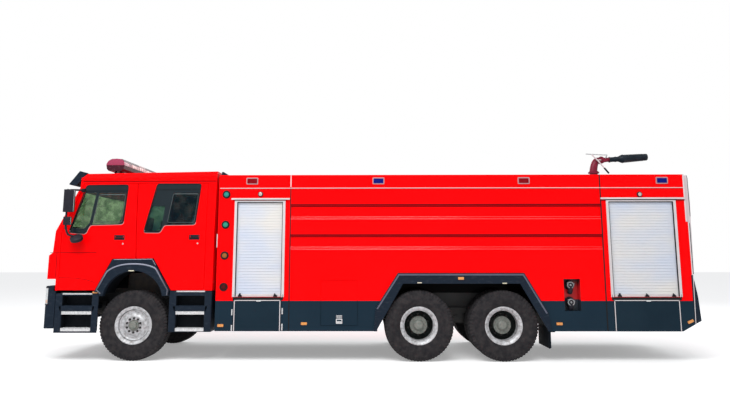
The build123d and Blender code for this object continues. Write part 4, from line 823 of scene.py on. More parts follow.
# Near-black over the cab's underside and inside the front wheel arches: painted shade.
cab_under_shade = (abs(red_paint.axis("Y")) < 1.215) * (red_paint.axis("Z") < 1.47)
cab_under_shade = cab_under_shade * (abs(red_paint.axis("X") + 3.80) < 1.25)
red_paint.set(
    Base_Color=red_paint.blend(
        cab_under_shade,
        red_paint.blend(
            red_film * 0.08,
            red_paint.blend(red_fade.ramp(0.25, 0.75), (0.90, 0.0004, 0.0014), (0.95, 0.0010, 0.0024)),
            (0.42, 0.02, 0.018),
        ),
        (0.004, 0.0045, 0.005),
    ),
    Roughness=red_film * 0.15 + 0.24,
    Specular_IOR_Level=0.035,
    Coat_Weight=0.03,
    Coat_Roughness=0.05,
)
red_paint.bump(red_paint.cloud(380, 2), 0.00010)
red_paint.on("cab_shell", "door_fl", "door_fr", "door_rl", "door_rr", "front_panel")
seal_rubber = mottled(
    "black_seal_rubber", (40, 4), (0.005, 0.006, 0.007), (0.014, 0.014, 0.016), (500, 2), 0.0002,
    Roughness=0.55, Specular_IOR_Level=0.12,
)
# Dark red for the panel joints, and as painted shadow under the gutter, along the creases and over the flutes.
joint_and_shadow_red = mottled(
    "red_in_shadow_joint", (5, 3), (0.15, 0.002, 0.004), (0.23, 0.003, 0.006), (300, 2), 0.0002,
    Roughness=0.6, Specular_IOR_Level=0.04,
)


def cab_y(z, inset=0.0):
    """How far out the cab's left side stands at a height, as a negative y."""
    half = 1.250 - 0.055 * max(0.0, min(1.0, (z - 2.067) / 0.716)) - 0.011 * max(0.0, (z - 2.783) / 0.177)
    return -(half - inset)


def cab_strip(shape, points, width, proud, depth=0.003):
    """A flat strip on the cab's side, through points given as x from the axle and z."""
    for (ax, az), (bx, bz) in zip(points, points[1:]):
        along = Vector((bx - ax, bz - az)).normalized()
        off = Vector((-along.y, along.x)) * width / 2
        start = Vector((ax, az)) - along * width * 0.3
        end = Vector((bx, bz)) + along * width * 0.3
        rings = []
        for level in (proud, proud - depth):
            ring = []
            for corner in (start - off, end - off, end + off, start + off):
                ring.append((FRONT_AXLE + corner.x, cab_y(corner.y) - level, corner.y))
            rings.append(ring)
        shape.faces(rings)


cab_joints = Shape()
for points in (
    # the joints of the nose and the low front corner, and the panel over the doors
    ((-1.283, 1.712), (-1.280, 1.340), (-1.268, 1.300)),
    ((-1.395, 1.716), (-1.240, 1.716)),
):
    cab_strip(cab_joints, points, 0.007, 0.0006, 0.002)
cab_joints.mirrored()
cab_joints.piece("cab_joints", "cab", "body_red", joint_and_shadow_red)
gutter = Shape()
gutter_line = [(-0.990, 2.921), (-0.955, 2.910), (0.2, 2.908), (1.262, 2.910)]
gutter.tube([(FRONT_AXLE + x, cab_y(z) - 0.004, z) for x, z in gutter_line], 0.010, 10)
gutter.tube([(FRONT_AXLE + x, cab_y(z) + 0.002, z + 0.030) for x, z in gutter_line], 0.007, 10)
gutter.mirrored()
gutter.piece("rain_gutters", "cab", "body_red", red_paint)
# A dark red strip under the gutter: its painted shadow.
gutter_shadow = Shape()
cab_strip(gutter_shadow, [(-0.955, 2.893), (1.262, 2.893)], 0.014, 0.0012, 0.003)
gutter_shadow.mirrored()
gutter_shadow.piece("gutter_painted_shadows", "cab", "body_red", joint_and_shadow_red)

DOORS = (
    # ending, body, crease along the door, handle, key lock
    ("f", "door_front", (-1.222, -0.640), (-0.278, 1.968), (-0.216, 1.858)),
    ("r", "door_rear", None, (0.950, 1.972), (1.006, 1.864)),
)
lock_chrome = Finish("lock_chrome")
lock_chrome.set(
    Base_Color=lock_chrome.blend(lock_chrome.cloud(90, 3), (0.34, 0.33, 0.34), (0.52, 0.51, 0.52)),
    Metallic=0.5,
    Roughness=0.3,
)
for row, body, crease, handle, lock in DOORS:
    for hand, way in (("l", 1), ("r", -1)):
        side_body = f"{body}_{'left' if hand == 'l' else 'right'}"
        cup = Shape()
        x, z = FRONT_AXLE + handle[0], handle[1]
        cup.band(
            [(x - 0.084, z - 0.046), (x + 0.084, z - 0.046), (x + 0.084, z + 0.032), (x - 0.084, z + 0.032)],
            [(x - 0.072, z - 0.036), (x + 0.072, z - 0.036), (x + 0.072, z + 0.022), (x - 0.072, z + 0.022)],
            -1.2525, 0.006,
        )
        cup.block((x - 0.084, x + 0.084), (-1.2315, -1.2285), (z - 0.044, z + 0.030))
        cup.block((x - 0.062, x + 0.062), (-1.2545, -1.2440), (z - 0.010, z + 0.024), 0.004)
        if way < 0:
            cup.other_side()
        cup.piece(f"handle_{row}{hand}", side_body, "black_plastic", black_mould)
        key = Shape()
        key.turned((FRONT_AXLE + lock[0], -1.250, lock[1]), ((0.0, 0.0125), (-0.004, 0.0125), (-0.006, 0.009), (-0.006, 0.0)), 24)
        key.block((FRONT_AXLE + lock[0] - 0.002, FRONT_AXLE + lock[0] + 0.002), (-1.2568, -1.2555), (lock[1] - 0.008, lock[1] + 0.008))
        if way < 0:
            key.other_side()
        key.piece(f"key_lock_{row}{hand}", side_body, "bright_rail", lock_chrome)
        if crease:
            # The crease is drawn as dark red strips: painted shade.
            fold = Shape()
            cab_strip(fold, [(crease[0], 1.716), (crease[1], 1.716)], 0.008, 0.0007, 0.002)
            cab_strip(fold, [(crease[0], 1.316), (-0.95, 1.308), (-0.780, 1.282), (-0.640, 1.240)], 0.005, 0.0007, 0.002)
            if way < 0:
                fold.other_side()
            fold.piece(f"door_crease_shade_{row}{hand}", side_body, "body_red", joint_and_shadow_red)
# Dark red strips sunk into the door gaps: painted shade.
door_gap_shade = mottled(
    "door_edge_shadow", (12, 3), (0.09, 0.002, 0.004), (0.20, 0.003, 0.006), (200, 2), 0.0002,
    Roughness=0.6, Specular_IOR_Level=0.04,
)
gap_shade_strips = Shape()
for points in (
    ((-1.2330, 1.118), (-1.2330, 2.049), (-0.9325, 2.850)),
    ((-0.938, 2.8565), (1.138, 2.8565)),
    ((1.138, 2.850), (1.138, 1.118)),
    ((0.012, 1.640), (0.012, 1.610), (-0.038, 2.850)),
):
    cab_strip(gap_shade_strips, points, 0.010, -0.020, 0.012)
gap_shade_strips.mirrored()
gap_shade_strips.piece("door_gap_painted_shadows", "cab", "black_plastic", door_gap_shade)

# Windows. Green tinted safety glass behind a wide black border, with a fixed front pane, a bright
# thin frame round the pane that winds down, and rubber round the whole opening. The blotches in the
# door panes' tints are a painted reflection of the surroundings, and a pale tube under each opening
# is a painted highlight on its lower lip.
# Green tint whose blotches are a painted reflection of trees; the rear panes' blue-green blotches are painted
# reflection as well.
green_glass_with_reflection = mottled(
    "green_tinted_glass", (11, 6), (0.07, 0.165, 0.062), (0.30, 0.41, 0.235), (3, 1), 0.0002,
    Transmission_Weight=1.0, Roughness=0.02, IOR=1.45, Specular_IOR_Level=0.4, ramp=(0.35, 0.65),
)
green_glass_with_reflection.on("glass_fl", "glass_fr")
dark_glass_with_reflection = mottled(
    "dark_tinted_glass", (7, 5), (0.024, 0.090, 0.15), (0.22, 0.36, 0.33), (3, 1), 0.0002,
    Transmission_Weight=0.95, Roughness=0.02, IOR=1.15, Specular_IOR_Level=0.08, ramp=(0.4, 0.7),
)
dark_glass_with_reflection.on("glass_rl", "glass_rr")
screen_glass = mottled(
    "windscreen_glass", (0.8, 2), (0.52, 0.62, 0.56), (0.60, 0.70, 0.62), (2, 1), 0.0001,
    Transmission_Weight=1.0, Roughness=0.01, IOR=1.45,
)
screen_glass.on("windscreen")
black_border = mottled(
    "black_glass_border", (3, 3), (0.006, 0.012, 0.016), (0.012, 0.021, 0.027), (6, 1), 0.0001,
    Roughness=0.14, Specular_IOR_Level=0.15, Coat_Weight=0.08,
)
# Pale pinkish red for the tube under each window opening: a painted highlight on its lit lower lip.
lip_highlight_paint = Finish("painted_highlight_window_lip")
lip_highlight_paint.set(
    Base_Color=lip_highlight_paint.blend(lip_highlight_paint.cloud(9, 4), (0.56, 0.22, 0.22), (0.72, 0.50, 0.50)),
    Roughness=0.3,
    Specular_IOR_Level=0.2,
)
frame_alu = mottled(
    "window_frame_steel", (40, 3), (0.035, 0.045, 0.050), (0.12, 0.14, 0.145), (200, 2, (1, 1, 6)), 0.0002,
    Metallic=0.4, Roughness=0.3,
)


def rounded(corners, radius, steps=5):
    """A closed outline with its corners rounded."""
    outline = []
    count = len(corners)
    for number in range(count):
        here = Vector(corners[number])
        before = (Vector(corners[number - 1]) - here)
        after = (Vector(corners[(number + 1) % count]) - here)
        reach = min(radius, before.length * 0.45, after.length * 0.45)
        start = here + before.normalized() * reach
        end = here + after.normalized() * reach
        for step in range(steps + 1):
            part = step / steps
            outline.append(tuple(start * (1 - part) ** 2 + here * 2 * part * (1 - part) + end * part ** 2))
    return outline


def pane(shape, outline, inset, depth):
    """A flat pane at the cab's side: an outline of x from the axle and z."""
    rings = []
    for level in (inset, inset + depth):
        rings.append([(FRONT_AXLE + x, cab_y(z, level), z) for x, z in outline])
    shape.faces(rings)


def pane_band(shape, outer, inner, inset, depth):
    """A flat band at the cab's side between two outlines of as many points."""
    rings = []
    for outline, level in ((outer, inset), (inner, inset), (inner, inset + depth), (outer, inset + depth), (outer, inset)):
        rings.append([(FRONT_AXLE + x, cab_y(z, level), z) for x, z in outline])
    rows = shape.faces(rings, caps=False)
    bmesh.ops.remove_doubles(shape.mesh, verts=rows[0] + rows[-1], dist=1e-6)


WINDOWS = (
    # ending, body, opening, clear glass of the fixed pane, clear glass of the winding pane
    (
        "f", "door_front",
        ((-0.891, 2.791), (-0.196, 2.797), (-0.232, 2.180), (-0.775, 2.165), (-0.836, 2.020), (-1.113, 2.043)),
        ((-0.905, 2.700), (-0.722, 2.700), (-0.790, 2.190), (-0.870, 2.110), (-1.080, 2.150)),
        ((-0.672, 2.668), (-0.232, 2.668), (-0.262, 2.212), (-0.738, 2.212)),
    ),
    (
        "r", "door_rear",
        ((0.287, 2.814), (1.017, 2.813), (0.951, 2.171), (0.442, 2.164), (0.383, 2.041), (0.112, 2.042)),
        ((0.245, 2.480), (0.455, 2.480), (0.400, 2.120), (0.160, 2.100)),
        ((0.560, 2.680), (0.975, 2.680), (0.930, 2.205), (0.490, 2.205)),
    ),
)
for row, body, opening, fixed, winding in WINDOWS:
    for hand in ("l", "r"):
        side_body = f"{body}_{'left' if hand == 'l' else 'right'}"
        border = Shape()
        pane_band(border, rounded(opening, 0.050), rounded(
            [(x * 0.955 + 0.045 * sum(p[0] for p in opening) / 6, z * 0.955 + 0.045 * sum(p[1] for p in opening) / 6) for x, z in opening], 0.04
        ), 0.0105, 0.0012)
        top = [(x, z) for x, z in opening if z > 2.5]
        (left, left_z), (right, right_z) = top
        pane(border, [(left + 0.004, left_z - 0.004), (right - 0.004, right_z - 0.004), (right - 0.012, 2.700), (left - 0.036, 2.700)], 0.0104, 0.0012)
        if row == "f":
            pane(border, [(-0.722, 2.705), (-0.676, 2.705), (-0.745, 2.175), (-0.795, 2.170)], 0.0103, 0.0012)
            pane(border, [(-1.098, 2.130), (-0.882, 2.100), (-0.790, 2.200), (-0.772, 2.168), (-0.836, 2.024), (-1.110, 2.046)], 0.0102, 0.0012)
        else:
            pane(border, [(0.455, 2.705), (0.566, 2.705), (0.492, 2.172), (0.398, 2.100)], 0.0103, 0.0012)
            pane(border, [(0.248, 2.705), (0.460, 2.705), (0.455, 2.480), (0.212, 2.480)], 0.0102, 0.0012)
        grown = [(x, z + (0.034 if z > 2.5 else 0.0)) for x, z in opening]
        pane(border, [
            (left - 0.030, left_z - 0.060), (left + 0.012, left_z + 0.030), (right - 0.004, right_z + 0.030),
            (right - 0.006, right_z - 0.060),
        ], -0.0016, 0.0012)
        line = rounded(grown, 0.045)
        rim = Shape()
        rim.tube([(FRONT_AXLE + x, cab_y(z, -0.001), z) for x, z in line + [line[0]]], 0.0075, 8)
        lip = Shape()
        low_line = [(x + 0.004, z - 0.006) for x, z in line if z < 2.75 and x > opening[-1][0] - 0.02]
        lip.tube([(FRONT_AXLE + x, cab_y(z, -0.002), z) for x, z in low_line], 0.0050, 8)
        bars = Shape()
        bar_path = rounded(winding, 0.03, 4)
        bar = [(FRONT_AXLE + x, cab_y(z, 0.009), z) for x, z in bar_path]
        bars.tube(bar + [bar[0]], 0.0045, 8)
        if hand == "r":
            for part in (border, rim, lip, bars):
                part.other_side()
        border.piece(f"window_border_{row}{hand}", side_body, "black_plastic", black_border)
        rim.piece(f"window_rubber_{row}{hand}", side_body, "black_plastic", seal_rubber)
        lip.piece(f"window_lip_highlight_{row}{hand}", side_body, "bright_rail", lip_highlight_paint)
        bars.piece(f"window_frame_{row}{hand}", side_body, "bright_rail", frame_alu)

# Wheel flares of the cab. Slate mouldings screwed to the cab, with a broad band round the arch that
# ends in a bead painted paler towards the top as a painted highlight; a small clear lamp sits at the
# top of each, and a near-black sheet behind the arch is painted shade.
slate_mould.on("flares")
FLARE_EDGE = (
    (-0.495, 1.024), (-0.545, 1.030), (-0.545, 1.085), (-0.625, 1.085), (-0.625, 1.103), (-0.363, 1.606),
    (0.289, 1.613), (0.592, 1.112), (0.575, 1.112), (0.575, 1.030), (0.481, 1.024),
)
arch_centre = Vector((-0.007, 0.935))


def flare_reach(turn):
    """How far the band reaches from the arch's centre at an angle, inside the flare's edge."""
    way = Vector((-cos(turn), sin(turn)))
    reach = 0.616 + 0.043 * sin(2 * turn) ** 2
    for first, last in zip(FLARE_EDGE, FLARE_EDGE[1:]):
        edge = Vector(last) - Vector(first)
        start = Vector(first) - arch_centre
        cross = way.x * edge.y - way.y * edge.x
        if abs(cross) > 1e-6 and 0 <= (start.x * way.y - start.y * way.x) / cross <= 1:
            reach = min(reach, (start.x * edge.y - start.y * edge.x) / cross - 0.008)
    return reach


bands = Shape()
lips = Shape()
rings = []
bead = []
arc = []
for number in range(41):
    turn = radians(14 + 155.5 * number / 40)
    out = flare_reach(turn)
    place = lambda distance, y: (FRONT_AXLE + arch_centre.x - distance * cos(turn), y, arch_centre.y + distance * sin(turn))
    rings.append([place(distance, y) for distance, y in (
        (0.491, -1.240), (0.486, -1.268), (0.492, -1.281), (out - 0.060, -1.287), (out - 0.026, -1.285), (out, -1.2745),
        (out, -1.270),
    )])
    bead.append(place(out - 0.016, -1.282))
    arc.append(place(0.500, -1.262))
bands.faces(rings)
bands.mirrored()
bands.piece("flare_bands", "cab", "slate_plastic", slate_mould)
lips.tube(bead, 0.0125, 12)
lips.tube([(FRONT_AXLE + x, -1.2745, z) for x, z in ((-0.33, 1.6045), (0.0, 1.608), (0.286, 1.611), (0.345, 1.514))], 0.0045, 8)
lips.mirrored()
# Slate that pales towards the top, for the flare beads and the visor's edges: a painted highlight.
flare_and_visor_highlight = Finish("flare_and_visor_painted_highlight")
flare_and_visor_highlight.set(
    Base_Color=flare_and_visor_highlight.blend(
        flare_and_visor_highlight.axis("Z").ramp(1.20, 1.56) * 0.75 + flare_and_visor_highlight.cloud(4, 3) * 0.25, (0.018, 0.025, 0.040), (0.27, 0.29, 0.38)
    ),
    Roughness=0.22,
    Specular_IOR_Level=0.6,
    Coat_Weight=0.3,
)
flare_and_visor_highlight.bump(flare_and_visor_highlight.cloud(600, 2), 0.0002)
lips.piece("flare_lips", "cab", "slate_plastic", flare_and_visor_highlight)
# A near-black sheet behind each front arch: painted shade.
arch_shade_sheet = Shape()
outer_arc = [(x, z) for x, y, z in arc]
rings = []
for x, z in outer_arc:
    away = Vector((x - FRONT_AXLE - arch_centre.x, z - arch_centre.y)).normalized() * 0.006
    rings.append([(x, -1.236, z), (x + away.x, -1.236, z + away.y), (x + away.x, -0.760, z + away.y), (x, -0.760, z)])
arch_shade_sheet.faces(rings)
arch_shade_sheet.mirrored()
arch_shade_sheet.piece("arch_painted_shade_sheets", "cab", "black_plastic", shade_and_flap_black)
white_lens = Finish("white_marker_lens")
white_lens.set(
    Base_Color=white_lens.blend(white_lens.cloud(120, 2), (0.55, 0.52, 0.38), (0.72, 0.69, 0.54)),
    Roughness=0.2,
    Specular_IOR_Level=0.2,
)
arch_lamps = Shape()
arch_lamps.block((FRONT_AXLE - 0.085, FRONT_AXLE + 0.005), (-1.293, -1.270), (1.418, 1.435), 0.004)
arch_lamps.mirrored()
arch_lamps.piece("flare_lamps", "cab", "lamp_lens", white_lens)

# Sun visor. A slate moulded blade on four arms over the windscreen, smooth and slightly smoked.
slate_mould.on("sun_visor")
visor_lip = Shape()
visor_lip.tube([(FRONT_AXLE - 1.227, y, 2.854) for y in (-1.093, -0.5, 0.0, 0.5, 1.093)], 0.008, 10)
visor_lip.tube([(FRONT_AXLE - 1.058, y, 3.071) for y in (-1.093, -0.5, 0.0, 0.5, 1.093)], 0.007, 10)
for y in (-0.82, 0.82):
    visor_lip.turned((FRONT_AXLE - 1.160, y, 2.968), (
        (0.0, 0.030), (-0.012, 0.030), (-0.018, 0.022), (-0.018, 0.0)
    ), 24, (0.793, 0, -0.609))
visor_lip.piece("visor_edges", "cab", "slate_plastic", flare_and_visor_highlight)

# Mirrors. Black heads on a bent steel tube bolted to each front door: a tall main glass, a wide
# one under it, and a round one on its own arm that looks down at the front wheel.
black_mould.on("mirror_l", "mirror_r")
mirror_glass = Finish("mirror_glass")
mirror_glass.set(
    Base_Color=mirror_glass.blend(mirror_glass.cloud(10, 2), (0.78, 0.80, 0.82), (0.85, 0.86, 0.87)),
    Metallic=1.0,
    Roughness=0.04,
)
for hand, way in (("l", 1), ("r", -1)):
    side_body = f"door_front_{'left' if hand == 'l' else 'right'}"
    heads = Shape()
    heads.block((FRONT_AXLE - 1.128, FRONT_AXLE - 0.980), (-1.443, -1.389), (2.365, 2.737), 0.022, 3)
    heads.block((FRONT_AXLE - 1.138, FRONT_AXLE - 1.016), (-1.433, -1.385), (2.156, 2.293), 0.020, 3)
    heads.turned((FRONT_AXLE - 0.915, -1.390, 1.941), (
        (-0.006, 0.06), (-0.004, 0.092), (0.008, 0.099), (0.024, 0.092), (0.038, 0.066), (0.044, 0.02)
    ), 40, (0.0, -0.57, 0.82))
    arms = Shape()
    arms.tube([
        (FRONT_AXLE - 0.936, -1.214, 2.742), (FRONT_AXLE - 1.030, -1.320, 2.736), (FRONT_AXLE - 1.104, -1.400, 2.728),
        (FRONT_AXLE - 1.104, -1.400, 2.40), (FRONT_AXLE - 1.104, -1.400, 2.130), (FRONT_AXLE - 1.062, -1.404, 2.004),
        (FRONT_AXLE - 1.000, -1.330, 1.975), (FRONT_AXLE - 0.975, -1.262, 1.969)
    ], 0.0155, 12, 2)
    arms.tube([
        (FRONT_AXLE - 1.062, -1.404, 2.006), (FRONT_AXLE - 0.990, -1.420, 1.985), (FRONT_AXLE - 0.925, -1.402, 1.962)
    ], 0.0125, 12, 1)
    arms.block((FRONT_AXLE - 1.002, FRONT_AXLE - 0.923), (-1.276, -1.251), (1.928, 2.010), 0.009)
    arms.block((FRONT_AXLE - 0.960, FRONT_AXLE - 0.910), (-1.222, -1.190), (2.710, 2.770), 0.006)
    for z in (1.944, 1.994):
        arms.nut((FRONT_AXLE - 0.940, -1.275, z), (0, -1, 0), 0.013, 0.006)
    glasses = Shape()
    glasses.block((FRONT_AXLE - 0.983, FRONT_AXLE - 0.978), (-1.437, -1.395), (2.378, 2.724), 0.002)
    glasses.block((FRONT_AXLE - 1.019, FRONT_AXLE - 1.014), (-1.428, -1.390), (2.166, 2.283), 0.002)
    for part in (heads, arms, glasses):
        if way < 0:
            part.other_side()
    heads.piece(f"mirror_heads_{hand}", side_body, "black_plastic", black_mould)
    arms.piece(f"mirror_arms_{hand}", side_body, "black_plastic", black_mould)
    glasses.piece(f"mirror_glasses_{hand}", side_body, "bright_rail", mirror_glass)

# Light bar. A slim housing in dark red on two feet: moulded lens domes at both ends, clear and
# cream panels between them with red slashes, and chrome speakers seen through the ends.
bar_base = Finish("light_bar_base")
bar_speck = bar_base.node("ShaderNodeTexVoronoi", {}, {"Vector": bar_base.stretched((1, 1, 1.4)), "Scale": 38.0})
bar_base.set(
    Base_Color=bar_base.blend(bar_speck.ramp(0.16, 0.05), (0.040, 0.003, 0.012), (0.50, 0.38, 0.40)),
    Roughness=0.25,
    Specular_IOR_Level=0.2,
    Coat_Weight=0.1,
)
bar_base.bump(bar_speck, 0.001)
bar_base.on("light_bar")
bar_lens = Finish("light_bar_red_lens")
bar_ribs = bar_lens.node(
    "ShaderNodeTexWave", {"bands_direction": "X"}, {"Vector": bar_lens.place(), "Scale": 34.0, "Distortion": 0.0}
)
bar_lens.set(
    Base_Color=bar_lens.blend(bar_ribs, (0.24, 0.016, 0.060), (0.40, 0.050, 0.12)),
    Roughness=0.16,
    Specular_IOR_Level=0.3,
    Coat_Weight=0.25,
)
bar_lens.bump(bar_ribs, 0.0008)
bar_cream = Finish("light_bar_panel")
slashes = bar_cream.axis("Y") * 9.0 + bar_cream.axis("X") * 14.0
bar_cream.set(
    Base_Color=bar_cream.blend(
        abs((slashes % 1.0) - 0.5).ramp(0.17, 0.13), (0.62, 0.44, 0.42), (0.36, 0.03, 0.05)
    ),
    Roughness=bar_cream.cloud(40, 3) * 0.2 + 0.25,
    Coat_Weight=0.4,
)
bar_cream.bump(bar_cream.cloud(160, 2), 0.0004)
BAR_TOP = (
    (-0.716, 3.205), (-0.712, 3.232), (-0.700, 3.258), (-0.676, 3.288), (-0.646, 3.308), (-0.610, 3.319),
    (-0.540, 3.321), (-0.468, 3.316), (-0.436, 3.303), (-0.414, 3.280), (-0.402, 3.245), (-0.397, 3.205),
)
bar_domes = Shape()
for start, end in ((-0.905, -0.560), (0.560, 0.905)):
    bar_domes.plate([(FRONT_AXLE + x, z) for x, z in BAR_TOP], start, end - start, edge=0.012)
bar_domes.piece("light_bar_domes", "cab", "lamp_red", bar_lens)
bar_panels = Shape()
for start, end in ((-0.556, -0.190), (0.190, 0.556), (-0.186, 0.186)):
    lift = 0.004 if start == -0.186 else 0.0
    bar_panels.plate([(FRONT_AXLE + x, z + lift) for x, z in BAR_TOP], start, end - start, edge=0.006)
bar_panels.piece("light_bar_panels", "cab", "bright_rail", bar_cream)
bar_feet = Shape()
for y in (-0.70, 0.70):
    bar_feet.block((FRONT_AXLE - 0.640, FRONT_AXLE - 0.490), (y - 0.055, y + 0.055), (3.040, 3.052), 0.003)
    bar_feet.block((FRONT_AXLE - 0.585, FRONT_AXLE - 0.545), (y - 0.044, y + 0.044), (3.050, 3.108), 0.004)
    for x in (-0.625, -0.505):
        bar_feet.nut((FRONT_AXLE + x, y, 3.051), (0, 0, 1), 0.016, 0.008)
bar_feet.piece("light_bar_feet", "cab", "bright_rail", bright_metal)

# Dashboard. A grained black moulding with a padded brow, a cluster of gauges before the driver, a
# centre stack of switches, and a four-spoke wheel on its tilted column.
black_mould.on("dashboard")
wheel_rim = mottled(
    "steering_wheel_grip", (60, 3), (0.012, 0.012, 0.013), (0.022, 0.022, 0.024), (420, 2), 0.0004,
    Roughness=0.5,
)
WHEEL_CENTRE = Vector((FRONT_AXLE - 0.765, -0.560, 1.967))
WHEEL_AXIS = Vector((sin(radians(32)), 0, cos(radians(32))))
steering = Shape()
side_way = Vector((0, 1, 0))
up_way = WHEEL_AXIS.cross(side_way)
loop = [
    WHEEL_CENTRE + (side_way * cos(2 * pi * n / 48) + up_way * sin(2 * pi * n / 48)) * 0.213 for n in range(49)
]
steering.tube(loop, 0.0155, 12)
for turn in (25, 155, 205, 335):
    way = side_way * cos(radians(turn)) + up_way * sin(radians(turn))
    steering.tube([WHEEL_CENTRE - WHEEL_AXIS * 0.012 + way * 0.04, WHEEL_CENTRE + way * 0.205], 0.012, 8)
steering.turned(WHEEL_CENTRE, ((-0.03, 0.05), (-0.01, 0.075), (0.008, 0.070), (0.014, 0.045), (0.015, 0.0)), 32, WHEEL_AXIS)
steering.piece("steering_wheel", "cab", "black_plastic", wheel_rim)
gauge_face = Finish("gauge_faces")
gauge_face.set(
    Base_Color=gauge_face.blend(gauge_face.cloud(70, 2).ramp(0.62, 0.66), (0.02, 0.022, 0.025), (0.5, 0.5, 0.48)),
    Roughness=0.25,
)
gauges = Shape()
for y, radius in ((-0.70, 0.055), (-0.58, 0.040), (-0.47, 0.055)):
    gauges.turned((FRONT_AXLE - 0.960, y, 1.916), ((0.0, radius), (0.006, radius), (0.006, radius - 0.006), (0.001, radius - 0.009), (0.001, 0.0)), 32, (0.44, 0, 0.9))
for number in range(8):
    y = -0.245 + 0.05 * (number % 4)
    z = 1.80 if number < 4 else 1.745
    gauges.block((FRONT_AXLE - 0.874, FRONT_AXLE - 0.862), (y, y + 0.038), (z, z + 0.036), 0.004)
gauges.piece("gauges_and_switches", "cab", "black_plastic", gauge_face)

# Seats. Two seats in front and a bench for the crew behind, foam cushions in dark grey cloth over
# steel frames. Each cushion is crowned.
seat_cloth = Finish("grey_seat_cloth")
weave_x = seat_cloth.node("ShaderNodeTexWave", {"bands_direction": "Y"}, {"Vector": seat_cloth.place(), "Scale": 90.0, "Distortion": 0.6})
weave_z = seat_cloth.node("ShaderNodeTexWave", {"bands_direction": "Z"}, {"Vector": seat_cloth.place(), "Scale": 90.0, "Distortion": 0.6})
weave = weave_x * weave_z
seat_cloth.set(
    Base_Color=seat_cloth.blend(
        weave * 0.6 + seat_cloth.cloud(9, 4) * 0.4, (0.022, 0.023, 0.026), (0.060, 0.062, 0.068)
    ),
    Roughness=0.85,
    Sheen_Weight=0.3,
)
seat_cloth.bump(weave, 0.0006)


def cushion(name, x, y, z, lean=0.0, swell=4.0, replaces=()):
    """A foam cushion: a rounded pad, blown up by cloth simulation, leaning back by an angle."""
    pad = Shape()
    edge = 0.035
    columns, rows_count = 7, 7
    rings = []
    half = (Vector((x[1] - x[0], y[1] - y[0], z[1] - z[0]))) / 2 - Vector((0.012, 0.012, 0.012))
    centre = Vector(((x[0] + x[1]) / 2, (y[0] + y[1]) / 2, (z[0] + z[1]) / 2))
    pad.block((-half.x, half.x), (-half.y, half.y), (-half.z, half.z), edge, 3)
    bmesh.ops.subdivide_edges(
        pad.mesh, edges=[e for e in pad.mesh.edges if e.calc_length() > 0.12], cuts=5, use_grid_fill=True
    )
    turn = Matrix.Rotation(lean, 4, "Y")
    for vert in pad.mesh.verts:
        vert.co = centre + turn @ vert.co
    made = pad.piece(name, "cab", "seat_fabric", seat_cloth, replaces, 60)
    before = [vert.co.copy() for vert in made.data.vertices]
    remesh = made.modifiers.new("remesh", "REMESH")
    remesh.mode = "VOXEL"
    remesh.voxel_size = 0.022
    remesh.use_smooth_shade = True
    bpy.context.view_layer.objects.active = made
    with bpy.context.temp_override(object=made, active_object=made, selected_objects=[made]):
        bpy.ops.object.modifier_apply(modifier="remesh")
    before = [vert.co.copy() for vert in made.data.vertices]
    cloth = made.modifiers.new("cloth", "CLOTH")
    cloth.settings.use_pressure = True
    cloth.settings.uniform_pressure_force = swell
    cloth.settings.effector_weights.gravity = 0
    cloth.settings.quality = 4
    cloth.point_cache.frame_start = 1
    cloth.point_cache.frame_end = 14
    for step in range(1, 15):
        bpy.context.scene.frame_set(step)
    shaped = made.evaluated_get(bpy.context.evaluated_depsgraph_get()).to_mesh()
    after = [vert.co.copy() for vert in shaped.vertices]
    made.modifiers.remove(cloth)
    bpy.context.scene.frame_set(1)
    for vert, old, new in zip(made.data.vertices, before, after):
        move = new - old
        vert.co = old + move * min(1.0, 0.016 / max(move.length, 1e-6))
    for polygon in made.data.polygons:
        polygon.use_smooth = True
    return made


A = FRONT_AXLE
LEAN = radians(-8.5)
for number, y in enumerate((-0.800, 0.300)):
    ending = ("left", "right")[number]
    cushion(f"seat_cushion_{ending}", (A - 0.655, A - 0.175), (y + 0.005, y + 0.495), (1.655, 1.785), radians(3), replaces=["seats"])
    cushion(f"seat_back_{ending}", (A - 0.185, A - 0.055), (y + 0.010, y + 0.490), (1.740, 2.370), radians(9))
    cushion(f"headrest_{ending}", (A - 0.128, A - 0.032), (y + 0.110, y + 0.390), (2.400, 2.575), radians(4))
cushion("bench_cushion", (A + 0.645, A + 1.060), (-1.045, 1.045), (1.505, 1.622), 0.0)
cushion("bench_back", (A + 1.065, A + 1.195), (-1.045, 1.045), (1.640, 2.390), radians(3))
seat_frames = Shape()
for y in (-0.800, 0.300):
    seat_frames.block((A - 0.40, A - 0.19), (y + 0.06, y + 0.44), (1.522, 1.660), 0.006)
    for side in (y + 0.19, y + 0.31):
        seat_frames.tube([(A - 0.075, side, 2.34), (A - 0.078, side, 2.43)], 0.007, 8)
    seat_frames.tube([(A - 0.60, y - 0.012, 1.72), (A - 0.30, y - 0.012, 1.70), (A - 0.12, y - 0.012, 1.78)], 0.014, 8, 1)
seat_frames.block((A + 0.79, A + 1.20), (-1.04, 1.04), (1.160, 1.500), 0.008)
seat_frames.piece("seat_frames", "cab", "black_plastic", black_mould)

# Grille panel. The red front panel lifts on hinges under the windscreen: four air slots closed by
# black mesh, a blank badge place, and two wipers parked over the glass above it.
mesh_black = Finish("grille_mesh")
holes = mesh_black.node("ShaderNodeTexVoronoi", {}, {"Vector": mesh_black.stretched((0.01, 1, 1)), "Scale": 70.0})
mesh_black.set(
    Base_Color=mesh_black.blend(holes.ramp(0.18, 0.42), (0.001, 0.001, 0.001), (0.035, 0.036, 0.038)),
    Roughness=0.5,
    Metallic=0.3,
)
mesh_black.bump(holes, 0.001)


